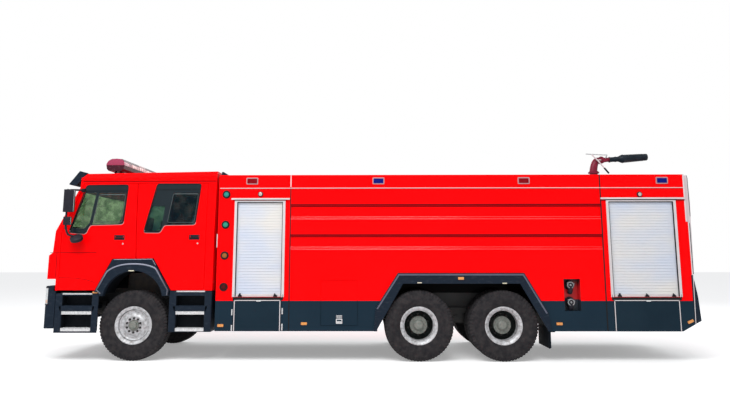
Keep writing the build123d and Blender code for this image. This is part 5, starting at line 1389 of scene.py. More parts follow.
def nose_x(y, z, out=0.0):
    """How far forward the cab's front face stands at a place across and up."""
    low = (1.719, -1.352, 0.090)
    high = (2.067, -1.328, 0.100)
    if z < 1.671:
        low, high = (1.294, -1.414, 0.060), (1.671, -1.412, 0.066)
    elif z < 1.719:
        low, high = (1.671, -1.412, 0.066), (1.719, -1.352, 0.090)
    elif z > 2.067:
        low, high = (2.067, -1.328, 0.100), (2.783, -0.998, 0.090)
    part = (z - low[0]) / (high[0] - low[0])
    corner = low[1] + (high[1] - low[1]) * part
    bow = low[2] + (high[2] - low[2]) * part
    across = cab_y(z)
    radius = (across * across + bow * bow) / (2 * bow)
    return FRONT_AXLE + corner - (sqrt(radius * radius - y * y) - (radius - bow)) - out


grille = Shape()
for z in (1.400, 1.480, 1.560, 1.640):
    count = 20
    rings = []
    for number in range(count + 1):
        y = -0.748 + 1.496 * number / count
        front_x, back_x = nose_x(y, z, -0.022), nose_x(y, z, -0.028)
        rings.append([(front_x, y, z - 0.0205), (front_x, y, z + 0.0205), (back_x, y, z + 0.0205), (back_x, y, z - 0.0205)])
    grille.faces(rings)
grille.piece("grille_mesh", "grille_panel", "black_plastic", mesh_black)
grille_bars = Shape()
for z in (1.400, 1.480, 1.560, 1.640):
    path = [(nose_x(y, z, -0.006), y, z) for y in [-0.746 + 1.492 * n / 16 for n in range(17)]]
    grille_bars.tube(path, 0.0065, 8)
grille_bars.piece("grille_bars", "grille_panel", "black_plastic", black_mould)
badge_place = Shape()
path = [(nose_x(y, 1.86, 0.001), y, 1.86) for y in [-0.42 + 0.84 * n / 16 for n in range(17)]]
badge_place.tube(path, 0.010, 10)
badge_place.piece("grille_moulding", "grille_panel", "bright_rail", lock_chrome)
wipers = Shape()
for pivot_y, tip_y in ((-0.82, -0.10), (0.02, 0.74)):
    pivot = (nose_x(pivot_y, 2.085, 0.012), pivot_y, 2.085)
    elbow = (nose_x(pivot_y + 0.26, 2.165, 0.020), pivot_y + 0.26, 2.165)
    tip = (nose_x(tip_y, 2.185, 0.016), tip_y, 2.185)
    wipers.turned(pivot, ((-0.010, 0.022), (0.008, 0.020), (0.012, 0.0)), 20, (-1, 0, 0.3))
    wipers.tube([pivot, elbow], 0.007, 8)
    wipers.tube([elbow, ((elbow[0] + tip[0]) / 2, (elbow[1] + tip[1]) / 2, 2.172), tip], 0.005, 8)
    blade = []
    for number in range(9):
        y = elbow[1] - 0.20 + (tip[1] - elbow[1] + 0.34) * number / 8
        blade.append((nose_x(y, 2.160, 0.006), y, 2.160))
    wipers.tube(blade, 0.0055, 6)
wipers.piece("wipers", "cab", "black_plastic", black_mould)
screen_edge = Shape()
outline = [(-1.118, 2.117), (1.118, 2.117), (1.054, 2.748), (-1.054, 2.748)]
path = []
for (ay, az), (by, bz) in zip(outline, outline[1:] + outline[:1]):
    for number in range(10):
        y, z = ay + (by - ay) * number / 10, az + (bz - az) * number / 10
        path.append((nose_x(y, z, -0.006), y, z))
screen_edge.tube(path + [path[0]], 0.016, 8)
screen_edge.piece("windscreen_rubber", "cab", "black_plastic", seal_rubber)

# Body paint. The tank and both lockers are red above a slate band, 949 mm from the ground; the deck
# between the roof's edges is a grey tread coat. The wells over the wheels, the inner faces low down
# and the ring round the hatch are darkened as painted shade.
body_paint = Finish("two_tone_body_enamel")
height = body_paint.axis("Z")
across = abs(body_paint.axis("Y"))
along = body_paint.axis("X")
body_fade = body_paint.cloud(0.6, 4, (1, 1, 1.6))
red_coat = body_paint.blend(body_fade.ramp(0.25, 0.75), (0.90, 0.0004, 0.0014), (0.955, 0.0010, 0.0024))
slate_coat = body_paint.blend(body_fade.ramp(0.3, 0.7), (0.0080, 0.0215, 0.0360), (0.0115, 0.0275, 0.0440))
two_tone = body_paint.blend(height < 0.949, red_coat, slate_coat)
deck_mask = (height > 2.88) * (height < 2.93) * (across < 1.19) * (along < -3.795 + 8.93)
with_deck = body_paint.blend(deck_mask, two_tone, (0.34, 0.35, 0.36))
# Round the hatch the paint is darkened by half and its middle is black: painted shade of an open mouth.
from_hatch = (along - 1.205) * (along - 1.205) + across * across
hatch_shade_mask = (from_hatch < 0.11) * (height > 2.86)
with_deck = body_paint.blend(hatch_shade_mask * (from_hatch < 0.048) * 0.5 + hatch_shade_mask * 0.5, with_deck, (0.004, 0.004, 0.004))
# Near-black in the wells over the wheels and on inner faces low down: painted shade.
well_shade_mask = (across < 1.236) * (height < 1.29) * (along > -3.795 + 3.85) * (along < -3.795 + 6.75)
under_shade_mask = (across < 1.08) * (height < 1.06)
painted_shade_mask = well_shade_mask + under_shade_mask
body_paint.set(
    Base_Color=body_paint.blend(painted_shade_mask.ramp(0.0, 1.0), with_deck, (0.004, 0.0045, 0.005)),
    Roughness=painted_shade_mask.ramp(0.0, 1.0) * 0.5 + deck_mask * 0.35 + body_fade * 0.06 + 0.20,
    Specular_IOR_Level=0.035,
    Coat_Weight=0.03,
    Coat_Roughness=0.05,
)
deck_studs = body_paint.node("ShaderNodeTexVoronoi", {}, {"Vector": body_paint.stretched((1, 1, 0)), "Scale": 26.0})
body_paint.bump(body_paint.cloud(380, 2) * 0.06 + deck_studs.ramp(0.30, 0.10) * deck_mask, 0.0016)
body_paint.on("tank_body", "front_locker", "rear_locker", "side_door")
slate_paint.on("flap_fl", "flap_fr", "flap_rl", "flap_rr")

# Body trims. White coach lines run along the body below the lamps, a white strip caps the front
# joint, black rubber fills both joints, and along the pressed flutes dark red strips are painted
# shadow under their top edges and pale red beads are painted highlight on their lower edges.
white_line = mottled(
    "white_coach_line", (6, 4), (0.74, 0.42, 0.44), (0.84, 0.66, 0.66), (300, 2), 0.0001,
    Roughness=0.3, Specular_IOR_Level=0.1,
)
coach_lines = Shape()
coach_lines.block((A + 1.345, A + 8.962), (-1.2532, -1.2490), (2.7610, 2.7715), 0.001, 1)
coach_lines.block((A + 2.507, A + 2.523), (-1.2550, -1.2490), (2.784, 2.984), 0.001, 1)
coach_lines.mirrored()
coach_lines.piece("coach_lines", "chassis", "bright_rail", white_line)
joints = Shape()
joints.block((A + 2.507, A + 2.523), (-1.2530, -1.2480), (0.480, 2.783), 0.001, 1)
joints.block((A + 7.581, A + 7.600), (-1.2530, -1.2480), (0.480, 2.984), 0.001, 1)
joints.block((A + 1.345, A + 8.962), (-1.2520, -1.2490), (2.7545, 2.7598))
joints.mirrored()
joints.piece("body_joint_rubbers", "chassis", "black_plastic", seal_rubber)
# Dark red strips at the top edge of each flute: painted shadow.
flute_shadow = Shape()
for top in (1.985, 2.478):
    flute_shadow.block((A + 2.524, A + 7.583), (-1.2400, -1.2292), (top - 0.018, top - 0.0045))
    flute_shadow.block((A + 2.524, A + 7.583), (-1.2515, -1.2480), (top - 0.002, top + 0.026))
flute_shadow.mirrored()
flute_shadow.piece("flute_shadow_beads", "chassis", "body_red", joint_and_shadow_red)
# Pale red beads along the flutes' lower edges: painted highlight.
flute_highlight_red = mottled(
    "red_painted_highlight", (0.5, 3, (1, 1, 0.1)), (0.92, 0.014, 0.022), (0.94, 0.085, 0.095), (80, 2), 0.0001,
    Roughness=0.2, Coat_Weight=0.4, ramp=(0.30, 0.70),
)
flute_highlights = Shape()
for low in (1.788, 2.277):
    for z, y in ((low + 0.016, -1.2297), (low - 0.018, -1.2498)):
        flute_highlights.tube([(A + 2.524, y, z), (A + 5.0, y, z), (A + 7.583, y, z)], 0.0042, 8)
flute_highlights.mirrored()
flute_highlights.piece("flute_highlights", "chassis", "body_red", flute_highlight_red)

# Roller curtains. Slats of anodised aluminium, each rolled with a small bead, run in bright rails
# with black pile seals; a pull bar with black turn latches closes them at the bottom.
curtain = Finish("anodised_slats")
# Soft cloud between warm grey and pale blue across the slats: a painted reflection of the sky.
sky_reflection = curtain.cloud(1.25, 3, (0.55, 1, 1.15), 0.45)
slat_phase = (curtain.axis("Z") - 1.009) / 0.04375
slat_line = abs((slat_phase % 1.0) - 0.5).ramp(0.42, 0.49)
slat_fine = abs(((slat_phase * 3.0) % 1.0) - 0.5).ramp(0.36, 0.5)
curtain.set(
    Base_Color=curtain.blend(
        slat_line * 0.05 + slat_fine * 0.02,
        curtain.blend(
            sky_reflection.ramp(0.40, 0.66), (0.680, 0.665, 0.640), (0.54, 0.600, 0.720)
        ),
        (0.44, 0.46, 0.50),
    ),
    Metallic=0.10,
    Roughness=0.45,
    Specular_IOR_Level=0.15,
)
curtain.bump(slat_line * -1.0 + slat_fine * -0.3, 0.0006)
curtain.on("shutters")
rail_finish = mottled(
    "bright_curtain_rail", (5, 5), (0.55, 0.51, 0.52), (0.70, 0.66, 0.67), (400, 2, (1, 1, 0.05)), 0.0002,
    Metallic=0.1, Roughness=0.3, Specular_IOR_Level=0.2,
)
rail_finish.on("shutter_rails")

CURTAINS = (
    # left, right, latches
    (1.638, 2.390, (1.721, 2.291)),
    (7.713, 8.765, (7.813, 8.250, 8.678)),
)
curtain_seals = Shape()
pull_bars = Shape()
latches = Shape()
for left, right, places in CURTAINS:
    for x in (left + 0.001, right - 0.010):
        curtain_seals.block((A + x, A + x + 0.009), (-1.2555, -1.2300), (1.020, 2.532))
    curtain_seals.block((A + left, A + right), (-1.2575, -1.2300), (2.528, 2.5405))
    curtain_seals.block((A + left - 0.052, A + right + 0.060), (-1.2645, -1.2610), (2.5655, 2.5745))
    curtain_seals.block((A + left - 0.030, A + right + 0.030), (-1.2525, -1.2490), (0.9600, 1.0060))
    for x in (left - 0.024, right + 0.024):
        for z in (1.014, 1.040):
            curtain_seals.turned((A + x, -1.2625, z), ((0, 0.007), (-0.003, 0.006), (-0.003, 0.0)), 10)
    pull_bars.block((A + left + 0.018, A + right - 0.018), (-1.2400, -1.2305), (1.0125, 1.0560), 0.004)
    pull_bars.tube([(A + left + 0.02, -1.2415, 1.046), (A + right - 0.02, -1.2415, 1.046)], 0.0045, 8)
    for x in places:
        way = 1 if x < (left + right) / 2 else -1
        latches.plate([
            (A + x - 0.034, 1.012), (A + x + 0.034, 1.012), (A + x + 0.030, 1.030), (A + x + 0.012, 1.046),
            (A + x + 0.012 * way, 1.068), (A + x - 0.012, 1.068), (A + x - 0.020, 1.040), (A + x - 0.030, 1.030),
        ], -1.2540, 0.014, edge=0.003)
        latches.turned((A + x, -1.2400, 1.036), ((0, 0.016), (-0.018, 0.016), (-0.024, 0.010), (-0.024, 0.0)), 20)
curtain_seals.block((A + 7.600, A + 8.960), (-1.2600, -1.2500), (2.5575, 2.5665))
curtain_seals.mirrored()
curtain_seals.piece("curtain_seals", "chassis", "black_plastic", seal_rubber)
pull_bars.block((A + 7.588, A + 8.968), (-1.2660, -1.2500), (2.5760, 2.6050), 0.003)
pull_bars.mirrored()
pull_bars.piece("curtain_pull_bars", "chassis", "bright_rail", rail_finish)
latches.mirrored()
latches.piece("curtain_latches", "chassis", "black_plastic", black_mould)

# Flaps. Sheet aluminium doors in slate paint below each curtain. They fold down to stand on, with
# bright edge trims, a slam latch in the middle and cast hinge plates beside the front ones.
FLAPS = (
    # ending, left, right, trim at the left and the right, latch
    ("f", 1.621, 2.386, 1.636, 2.370, 2.026),
    ("r", 7.713, 8.762, 7.724, 8.752, 8.264),
)
for ending, left, right, first, last, latch in FLAPS:
    for hand, way, side_name in (("l", 1, "left"), ("r", -1, "right")):
        body = f"flap_{'front' if ending == 'f' else 'rear'}_{side_name}"
        edge_trim = Shape()
        for x in (first, last):
            edge_trim.block((A + x - 0.0065, A + x + 0.0065), (-1.2535, -1.2495), (0.478, 0.9610), 0.001, 1)
        edge_trim.block((A + first - 0.0065, A + last + 0.0065), (-1.2535, -1.2495), (0.9490, 0.9615), 0.001, 1)
        if way < 0:
            edge_trim.other_side()
        edge_trim.piece(f"flap_trim_{ending}{hand}", body, "bright_rail", rail_finish)
        slam = Shape()
        slam.plate([
            (A + latch - 0.050, 0.9605), (A + latch + 0.050, 0.9605), (A + latch + 0.032, 0.938), (A + latch - 0.032, 0.938)
        ], -1.2600, 0.012, edge=0.003)
        if way < 0:
            slam.other_side()
        slam.piece(f"flap_latch_{ending}{hand}", body, "bright_rail", bright_metal)
hinge_plates = Shape()
for x, spans in ((1.602, ((0.722, 0.816), (0.480, 0.571))), (2.409, ((0.741, 0.836), (0.486, 0.590)))):
    for low, high in spans:
        hinge_plates.block((A + x - 0.010, A + x + 0.010), (-1.2560, -1.2495), (low, high), 0.002)
        hinge_plates.tube([(A + x, -1.2580, low + 0.01), (A + x, -1.2580, high - 0.01)], 0.006, 10)
        for z in (low + 0.018, high - 0.018):
            hinge_plates.turned((A + x, -1.2575, z), ((0, 0.0075), (-0.0055, 0.0065), (-0.0065, 0.0)), 10)
hinge_plates.mirrored()
hinge_plates.piece("flap_hinge_plates", "chassis", "bright_rail", bright_metal)

# Compartment door latch. A stainless paddle in a pressed tray, with a ventilated plate above it.
paddle = Shape()
x = A + 3.3214
paddle.band(
    [(x - 0.050, 0.592), (x + 0.050, 0.592), (x + 0.050, 0.668), (x - 0.050, 0.668)],
    [(x - 0.038, 0.606), (x + 0.038, 0.606), (x + 0.038, 0.654), (x - 0.038, 0.654)], -1.2535, 0.006,
)
paddle.plate([(x - 0.036, 0.608), (x + 0.036, 0.608), (x + 0.036, 0.630), (x - 0.036, 0.630)], -1.2520, 0.004, edge=0.001)
for z in (0.682, 0.700, 0.718):
    paddle.block((x - 0.046, x + 0.046), (-1.2530, -1.2480), (z - 0.004, z + 0.004), 0.001, 1)
for side in (x - 0.030, x, x + 0.030):
    paddle.block((side - 0.003, side + 0.003), (-1.2528, -1.2480), (0.680, 0.720), 0.001, 1)
paddle.piece("compartment_paddle", "compartment_door", "bright_rail", bright_metal)

# Arch trims. Moulded slate bands round the bogie's wheels whose rolled edge is paler as a painted
# highlight, and small lamps screwed in; the mud flaps hang behind them.
# Pale slate on the trims' rolled edges: a painted highlight.
trim_edge_highlight = mottled(
    "trim_edge_painted_highlight", (5, 4), (0.065, 0.075, 0.110), (0.12, 0.13, 0.18), (300, 2), 0.0002,
    Roughness=0.3, Specular_IOR_Level=0.3,
)
TRIM_LINE = ((-1.372, 0.829), (-1.008, 1.388), (1.020, 1.388), (1.386, 0.759))
trim_edge = Shape()
TRIM_INSIDE = ((-1.332, 0.822), (-0.986, 1.350), (0.998, 1.350), (1.346, 0.752))
rings = []
for (ox, oz), (ix, iz) in zip(TRIM_LINE, TRIM_INSIDE):
    rings.append([
        (BOGIE + ox, -1.2500, oz), (BOGIE + ox, -1.2590, oz), (BOGIE + (ox * 0.55 + ix * 0.45), -1.2735, oz * 0.55 + iz * 0.45),
        (BOGIE + ix, -1.2737, iz), (BOGIE + ix, -1.2715, iz),
    ])
trim_edge.faces(rings)
trim_edge.mirrored()
trim_edge.piece("arch_trim_edges", "chassis", "slate_plastic", trim_edge_highlight)
rear_flaps = Shape()
rear_flaps.block((BOGIE + 1.382, BOGIE + 1.394), (-1.2400, -0.5850), (0.206, 0.900), 0.003)
rear_flaps.mirrored()
rear_flaps.piece("mud_flaps", "chassis", "black_plastic", shade_and_flap_black)
trim_lamps = Shape()
for x, z in ((4.612, 1.234), (5.976, 1.226)):
    trim_lamps.block((A + x - 0.036, A + x + 0.036), (-1.2790, -1.2715), (z - 0.007, z + 0.009), 0.003)
trim_lamps.mirrored()
trim_lamps.piece("arch_white_lamps", "chassis", "lamp_lens", white_lens)

# Hose couplings. Cast outlets in a pressed recess, black elbows with bright locking rings and
# blank caps with three lugs.
black_mould.on("hose_couplings")
cap_metal = mottled(
    "cast_cap_aluminium", (50, 5), (0.36, 0.36, 0.37), (0.12, 0.12, 0.13), (260, 3), 0.0004,
    Metallic=0.5, Roughness=0.32, ramp=(0.35, 0.65),
)
hose_recess_shade = Finish("recess_shade")
# Red above the slate line, turning near-black towards the top of the recess: painted shadow.
hose_recess_shade.set(
    Base_Color=hose_recess_shade.blend(
        hose_recess_shade.axis("Z").ramp(1.16, 1.26),
        hose_recess_shade.blend(hose_recess_shade.axis("Z") < 0.965, (0.55, 0.004, 0.008), (0.012, 0.02, 0.032)),
        (0.03, 0.002, 0.003),
    ),
    Roughness=hose_recess_shade.cloud(20, 4) * 0.2 + 0.35,
)
recess_back = Shape()
recess_back.block((A + 6.927, A + 7.185), (-1.1025, -1.1005), (0.793, 1.291))
recess_back.block((A + 6.9255, A + 6.9275), (-1.2470, -1.1010), (0.793, 1.291))
recess_back.block((A + 7.1845, A + 7.1865), (-1.2470, -1.1010), (0.793, 1.291))
recess_back.plate([
    (A + 6.926, 1.292), (A + 7.186, 1.292), (A + 7.186, 1.245), (A + 7.110, 1.105), (A + 7.070, 1.080),
    (A + 7.020, 1.080), (A + 6.975, 1.150), (A + 6.926, 1.190),
], -1.1040, 0.0012)
recess_back.mirrored()
recess_back.piece("hose_recess_skins", "chassis", "body_red", hose_recess_shade)
caps = Shape()
for x, z in ((7.045, 1.195), (7.043, 0.923)):
    caps.turned((A + x, -1.2100, z), (
        (0.010, 0.050), (0.0, 0.056), (-0.010, 0.056), (-0.014, 0.051), (-0.014, 0.041), (-0.004, 0.037),
        (0.010, 0.036),
    ), 40, caps=False)
    caps.turned((A + x, -1.2060, z), ((0.0, 0.017), (-0.016, 0.017), (-0.020, 0.012), (-0.020, 0.0)), 20)
    for turn in (20, 140, 260):
        lug_x = A + x + 0.056 * cos(radians(turn))
        lug_z = z + 0.056 * sin(radians(turn))
        caps.turned((lug_x, -1.2060, lug_z), ((0, 0.011), (-0.014, 0.011), (-0.018, 0.007), (-0.018, 0.0)), 14)
outlets = Shape()
for x, z in ((7.045, 1.195), (7.043, 0.923)):
    outlets.turned((A + x, -1.2060, z), ((0.0, 0.038), (-0.002, 0.037), (-0.002, 0.0)), 32)
    outlets.tube([(A + x, -1.190, z - 0.030), (A + x, -1.185, z - 0.085), (A + x, -1.150, z - 0.120)], 0.040, 20, 1)
outlets.mirrored()
outlets.piece("hose_outlets", "chassis", "black_plastic", black_mould)
caps.mirrored()
caps.piece("hose_caps", "chassis", "bright_rail", cap_metal)

# Lamps. Surface lamps in bright frames along the roof's edge, amber markers low down, round work
# lamps over the curtains, four level lamps in black bezels, and tail lamps at both rear corners.
lamp_blue = Finish("blue_warning_lens")
lamp_crimson = Finish("red_warning_lens")
for finish, dark, light in (
    (lamp_blue, (0.001, 0.004, 0.12), (0.004, 0.012, 0.22)),
    (lamp_crimson, (0.14, 0.001, 0.004), (0.28, 0.002, 0.008)),
):
    cells = finish.node(
        "ShaderNodeTexChecker", {}, {"Vector": finish.place(), "Color1": (1, 1, 1), "Color2": (0, 0, 0), "Scale": 90.0},
        output=1,
    )
    finish.set(
        Base_Color=finish.blend(cells * 0.4 + finish.cloud(22, 3) * 0.6, dark, light),
        Roughness=0.18,
        Specular_IOR_Level=0.06,
    )
    finish.bump(cells, 0.0006)
WARNING_LAMPS = ((1.876, lamp_crimson, "a"), (3.958, lamp_blue, "b"), (6.345, lamp_crimson, "c"), (8.606, lamp_blue, "d"))
lamp_frames = Shape()
for x, finish, ending in WARNING_LAMPS:
    outer = rounded([(A + x - 0.097, 2.829), (A + x + 0.097, 2.829), (A + x + 0.097, 2.941), (A + x - 0.097, 2.941)], 0.016, 3)
    inner = rounded([(A + x - 0.080, 2.845), (A + x + 0.080, 2.845), (A + x + 0.080, 2.922), (A + x - 0.080, 2.922)], 0.010, 3)
    lamp_frames.band(outer, inner, -1.2660, 0.016)
lamp_frames.mirrored()
frame_paint = Finish("lamp_frame_paint")
frame_paint.set(
    Base_Color=frame_paint.blend(frame_paint.cloud(30, 4), (0.34, 0.15, 0.17), (0.52, 0.32, 0.34)),
    Roughness=0.35,
    Specular_IOR_Level=0.15,
)
frame_paint.bump(frame_paint.cloud(300, 2), 0.0001)
lamp_frames.piece("warning_lamp_frames", "chassis", "bright_rail", frame_paint, ["lamps"])
for x, finish, ending in WARNING_LAMPS:
    glass = Shape()
    glass.plate(
        rounded([(A + x - 0.081, 2.844), (A + x + 0.081, 2.844), (A + x + 0.081, 2.923), (A + x - 0.081, 2.923)], 0.010, 3),
        -1.2700, 0.020, edge=0.004,
    )
    glass.mirrored()
    glass.piece(f"warning_lens_{ending}", "chassis", "lamp_red" if finish is lamp_crimson else "lamp_lens", finish)
marker_lamps = Shape()
for x, z, tilt in ((1.425, 0.563, 0.0), (2.760, 0.593, 0.0), (6.828, 0.592, 0.0), (8.905, 0.628, 0.42)):
    corners = []
    for dx, dz in ((-0.048, -0.021), (0.048, -0.021), (0.048, 0.021), (-0.048, 0.021)):
        corners.append((A + x + dx * cos(tilt) - dz * sin(tilt), z + dx * sin(tilt) + dz * cos(tilt)))
    marker_lamps.plate(rounded(corners, 0.008, 3), -1.2630, 0.014, edge=0.003)
marker_lamps.plate(rounded([
    (A + 5.277 - 0.046, 1.283), (A + 5.277 + 0.046, 1.283), (A + 5.277 + 0.046, 1.325), (A + 5.277 - 0.046, 1.325)
], 0.006, 3), -1.2830, 0.012, edge=0.003)
marker_lamps.mirrored()
marker_lamps.piece("marker_lenses", "chassis", "lamp_lens", amber_lens)
cab_markers = Shape()
cab_markers.plate(rounded([
    (A - 0.660, 1.068), (A - 0.575, 1.068), (A - 0.575, 1.094), (A - 0.660, 1.094)
], 0.006, 3), -1.2580, 0.010, edge=0.003)
cab_markers.mirrored()
cab_markers.piece("step_markers", "chassis", "lamp_lens", amber_lens)
work_lamps = Shape()
for x, z in ((2.017, 2.667), (8.228, 2.656)):
    work_lamps.turned((A + x, -1.2500, z), (
        (0.0, 0.044), (-0.010, 0.044), (-0.020, 0.040), (-0.026, 0.036), (-0.026, 0.031), (-0.022, 0.030)
    ), 36)
work_lamps.mirrored()
work_lamps.piece("work_lamp_bodies", "chassis", "black_plastic", black_mould)
work_glass = Finish("work_lamp_glass")
facets = work_glass.node("ShaderNodeTexVoronoi", {}, {"Vector": work_glass.place(), "Scale": 110.0})
work_glass.set(
    Base_Color=work_glass.blend(facets.ramp(0.1, 0.6), (0.72, 0.62, 0.52), (0.42, 0.36, 0.33)),
    Roughness=0.12,
    Metallic=0.3,
    Coat_Weight=0.6,
)
work_glass.bump(facets, 0.001)
work_lenses = Shape()
for x, z in ((2.017, 2.667), (8.228, 2.656)):
    work_lenses.turned((A + x, -1.2680, z), ((0.0, 0.032), (-0.006, 0.030), (-0.010, 0.020), (-0.012, 0.0)), 32)
work_lenses.mirrored()
work_lenses.piece("work_lamp_lenses", "chassis", "lamp_lens", work_glass)
LEVELS = (
    # height, tint, ending
    (2.663, (0.018, 0.185, 0.160), "a"), (2.167, (0.020, 0.200, 0.140), "b"),
    (1.669, (0.240, 0.082, 0.020), "c"), (1.167, (0.058, 0.001, 0.001), "d"),
)
bezels = Shape()
for z, tint, ending in LEVELS:
    bezels.turned((A + 1.455, -1.2500, z), (
        (0.0, 0.066), (-0.008, 0.066), (-0.016, 0.061), (-0.019, 0.052), (-0.019, 0.043), (-0.006, 0.040)
    ), 40)
bezels.mirrored()
bezels.piece("level_lamp_bezels", "chassis", "black_plastic", seal_rubber)
for z, tint, ending in LEVELS:
    level_finish = Finish(f"level_lens_{ending}")
    rings_wave = level_finish.node(
        "ShaderNodeTexWave", {"wave_type": "RINGS", "rings_direction": "Y"},
        {"Vector": level_finish.node("ShaderNodeVectorMath", {"operation": "SUBTRACT"}, {0: level_finish.place(), 1: (A + 1.455, 0, z)}),
         "Scale": 32.0, "Distortion": 0.0},
    )
    level_finish.set(
        Base_Color=level_finish.blend(rings_wave * 0.4 + level_finish.cloud(30, 3) * 0.4, tint, tuple(c * 1.9 + 0.004 for c in tint)),
        Roughness=0.18,
        Specular_IOR_Level=0.12,
    )
    level_finish.bump(rings_wave, 0.0008)
    dome = Shape()
    dome.turned((A + 1.455, -1.2520, z), ((0.0, 0.042), (-0.010, 0.041), (-0.015, 0.032), (-0.018, 0.016), (-0.019, 0.0)), 36)
    dome.mirrored()
    dome.piece(f"level_lens_{ending}", "chassis", "lamp_lens", level_finish)
tail_housing = Shape()
for z in (1.100, 1.200):
    tail_housing.block((A + 9.008, A + 9.058), (-1.155, -0.995), (z - 0.004, z + 0.084), 0.006)
tail_housing.mirrored()
tail_housing.piece("tail_lamp_housings", "chassis", "black_plastic", black_mould)
tail_red = Shape()
tail_amber = Shape()
for shape, z in ((tail_red, 1.100), (tail_amber, 1.200)):
    shape.block((A + 9.052, A + 9.066), (-1.146, -1.004), (z + 0.004, z + 0.076), 0.005)
    shape.mirrored()
tail_red.piece("tail_lenses_red", "chassis", "lamp_red", lamp_crimson)
tail_amber.piece("tail_lenses_amber", "chassis", "lamp_lens", amber_lens)

# Roof. A moulded wedge turns the air over the gap behind the cab; the tank's hatch is a dished
# aluminium lid with a handwheel, hinged at one side.
slate_mould.on("roof_fairing")
lid = Finish("hatch_aluminium")
lid.set(
    Base_Color=lid.blend(lid.cloud(14, 5), (0.20, 0.205, 0.21), (0.30, 0.30, 0.30)),
    Metallic=0.3,
    Roughness=lid.cloud(30, 4) * 0.2 + 0.3,
)
lid.bump(lid.cloud(200, 3), 0.0004)
lid.on("tank_hatch")
hatch_top = Shape()
hatch_x = A + 5.0
hatch_top.turned((hatch_x, 0, 2.984), ((0.012, 0.030), (0.028, 0.030), (0.032, 0.024), (0.032, 0.0)), 24, "Z")
loop = [(hatch_x + 0.085 * cos(2 * pi * n / 32), 0.085 * sin(2 * pi * n / 32), 3.008) for n in range(33)]
hatch_top.tube(loop, 0.008, 10)
for turn in (0, 120, 240):
    hatch_top.tube([(hatch_x, 0, 3.006), (hatch_x + 0.083 * cos(radians(turn)), 0.083 * sin(radians(turn)), 3.008)], 0.006, 8)
for turn in (60, 180, 300):
    x, y = hatch_x + 0.262 * cos(radians(turn)), 0.262 * sin(radians(turn))
    hatch_top.nut((x, y, 2.982), (0, 0, 1), 0.022, 0.012)
hatch_top.piece("hatch_handwheel", "hatch", "bright_rail", bright_metal)
hatch_hinge = Shape()
hatch_hinge.tube([(hatch_x - 0.07, -0.296, 2.955), (hatch_x + 0.07, -0.296, 2.955)], 0.012, 12)
hatch_hinge.block((hatch_x - 0.075, hatch_x + 0.075), (-0.335, -0.292), (2.904, 2.946), 0.004)
hatch_hinge.piece("hatch_hinge", "chassis", "bright_rail", bright_metal)

# Monitor. A standpipe and elbow in crimson paint, turned by a white tiller with a black grip; the
# barrel is black moulding with a swelling foam chamber and a stout tip.
crimson = Finish("crimson_monitor_paint")
crimson_fade = crimson.cloud(11, 5)
crimson.set(
    Base_Color=crimson.blend(crimson_fade.ramp(0.3, 0.7), (0.15, 0.008, 0.026), (0.29, 0.018, 0.050)),
    Roughness=crimson_fade * 0.15 + 0.25,
    Specular_IOR_Level=0.15,
    Coat_Weight=0.05,
)
crimson.bump(crimson.cloud(220, 3), 0.0004)
crimson.on("monitor_base")
MONITOR_X = A + 7.943
LIFT = Vector((A + 8.080, 0, 3.410))
elbow = Shape()
elbow.turned((MONITOR_X, 0, 3.1903), ((0.0, 0.076), (0.004, 0.079), (0.016, 0.079), (0.020, 0.074), (0.020, 0.05)), 48, "Z")
spine = (
    # x, z, radius, direction of the section in degrees from upright
    (-0.004, 3.200, 0.070, 8), (0.004, 3.260, 0.068, 10), (0.016, 3.310, 0.066, 14), (0.030, 3.350, 0.064, 26),
    (0.050, 3.385, 0.062, 48), (0.078, 3.404, 0.060, 70), (0.108, 3.410, 0.056, 88), (0.150, 3.410, 0.050, 90),
    (0.152, 3.410, 0.030, 90),
)
rings = []
for x, z, radius, tilt in spine:
    tangent = Vector((sin(radians(tilt)), 0, cos(radians(tilt))))
    other = Vector((cos(radians(tilt)), 0, -sin(radians(tilt))))
    rings.append([
        Vector((MONITOR_X + x, 0, z)) + (other * cos(2 * pi * n / 40) + Vector((0, 1, 0)) * sin(2 * pi * n / 40)) * radius
        for n in range(40)
    ])
elbow.faces(rings)
elbow.turned((LIFT.x, -0.052, LIFT.z), ((0.0, 0.060), (0.006, 0.066), (0.098, 0.066), (0.104, 0.060)), 40)
elbow.piece("monitor_elbow_pipe", "monitor_swivel", "monitor_red", crimson, ["monitor_elbow"])
barrel_black = Finish("black_barrel_moulding")
ribs = barrel_black.cloud(5, 4)
barrel_black.set(
    Base_Color=barrel_black.blend(ribs.ramp(0.35, 0.7), (0.004, 0.009, 0.015), (0.018, 0.028, 0.040)),
    Roughness=0.34,
    Specular_IOR_Level=0.15,
)
barrel_black.bump(barrel_black.cloud(320, 2), 0.0003)
gun_axis = Vector((cos(radians(4)), 0, sin(radians(4))))
gun = Shape()
gun.turned(LIFT, (
    (0.155, 0.046), (0.156, 0.052), (0.168, 0.054), (0.176, 0.050), (0.180, 0.046), (0.250, 0.045), (0.262, 0.050),
    (0.288, 0.051), (0.296, 0.046), (0.330, 0.050), (0.368, 0.068), (0.392, 0.077), (0.404, 0.080), (0.416, 0.079),
    (0.424, 0.074), (0.600, 0.068), (0.800, 0.062), (0.806, 0.065), (0.850, 0.063), (0.858, 0.057), (0.858, 0.046),
    (0.800, 0.040), (0.780, 0.0),
), 56, gun_axis)
for turn in range(12):
    angle = 2 * pi * turn / 12
    up = gun_axis.cross(Vector((0, 1, 0)))
    way = Vector((0, 1, 0)) * cos(angle) + up * sin(angle)
    gun.tube([LIFT + gun_axis * 0.430 + way * 0.073, LIFT + gun_axis * 0.790 + way * 0.0625], 0.0035, 6)
gun.piece("monitor_barrel_body", "monitor_gun", "black_plastic", barrel_black, ["monitor_barrel"])
fork = Shape()
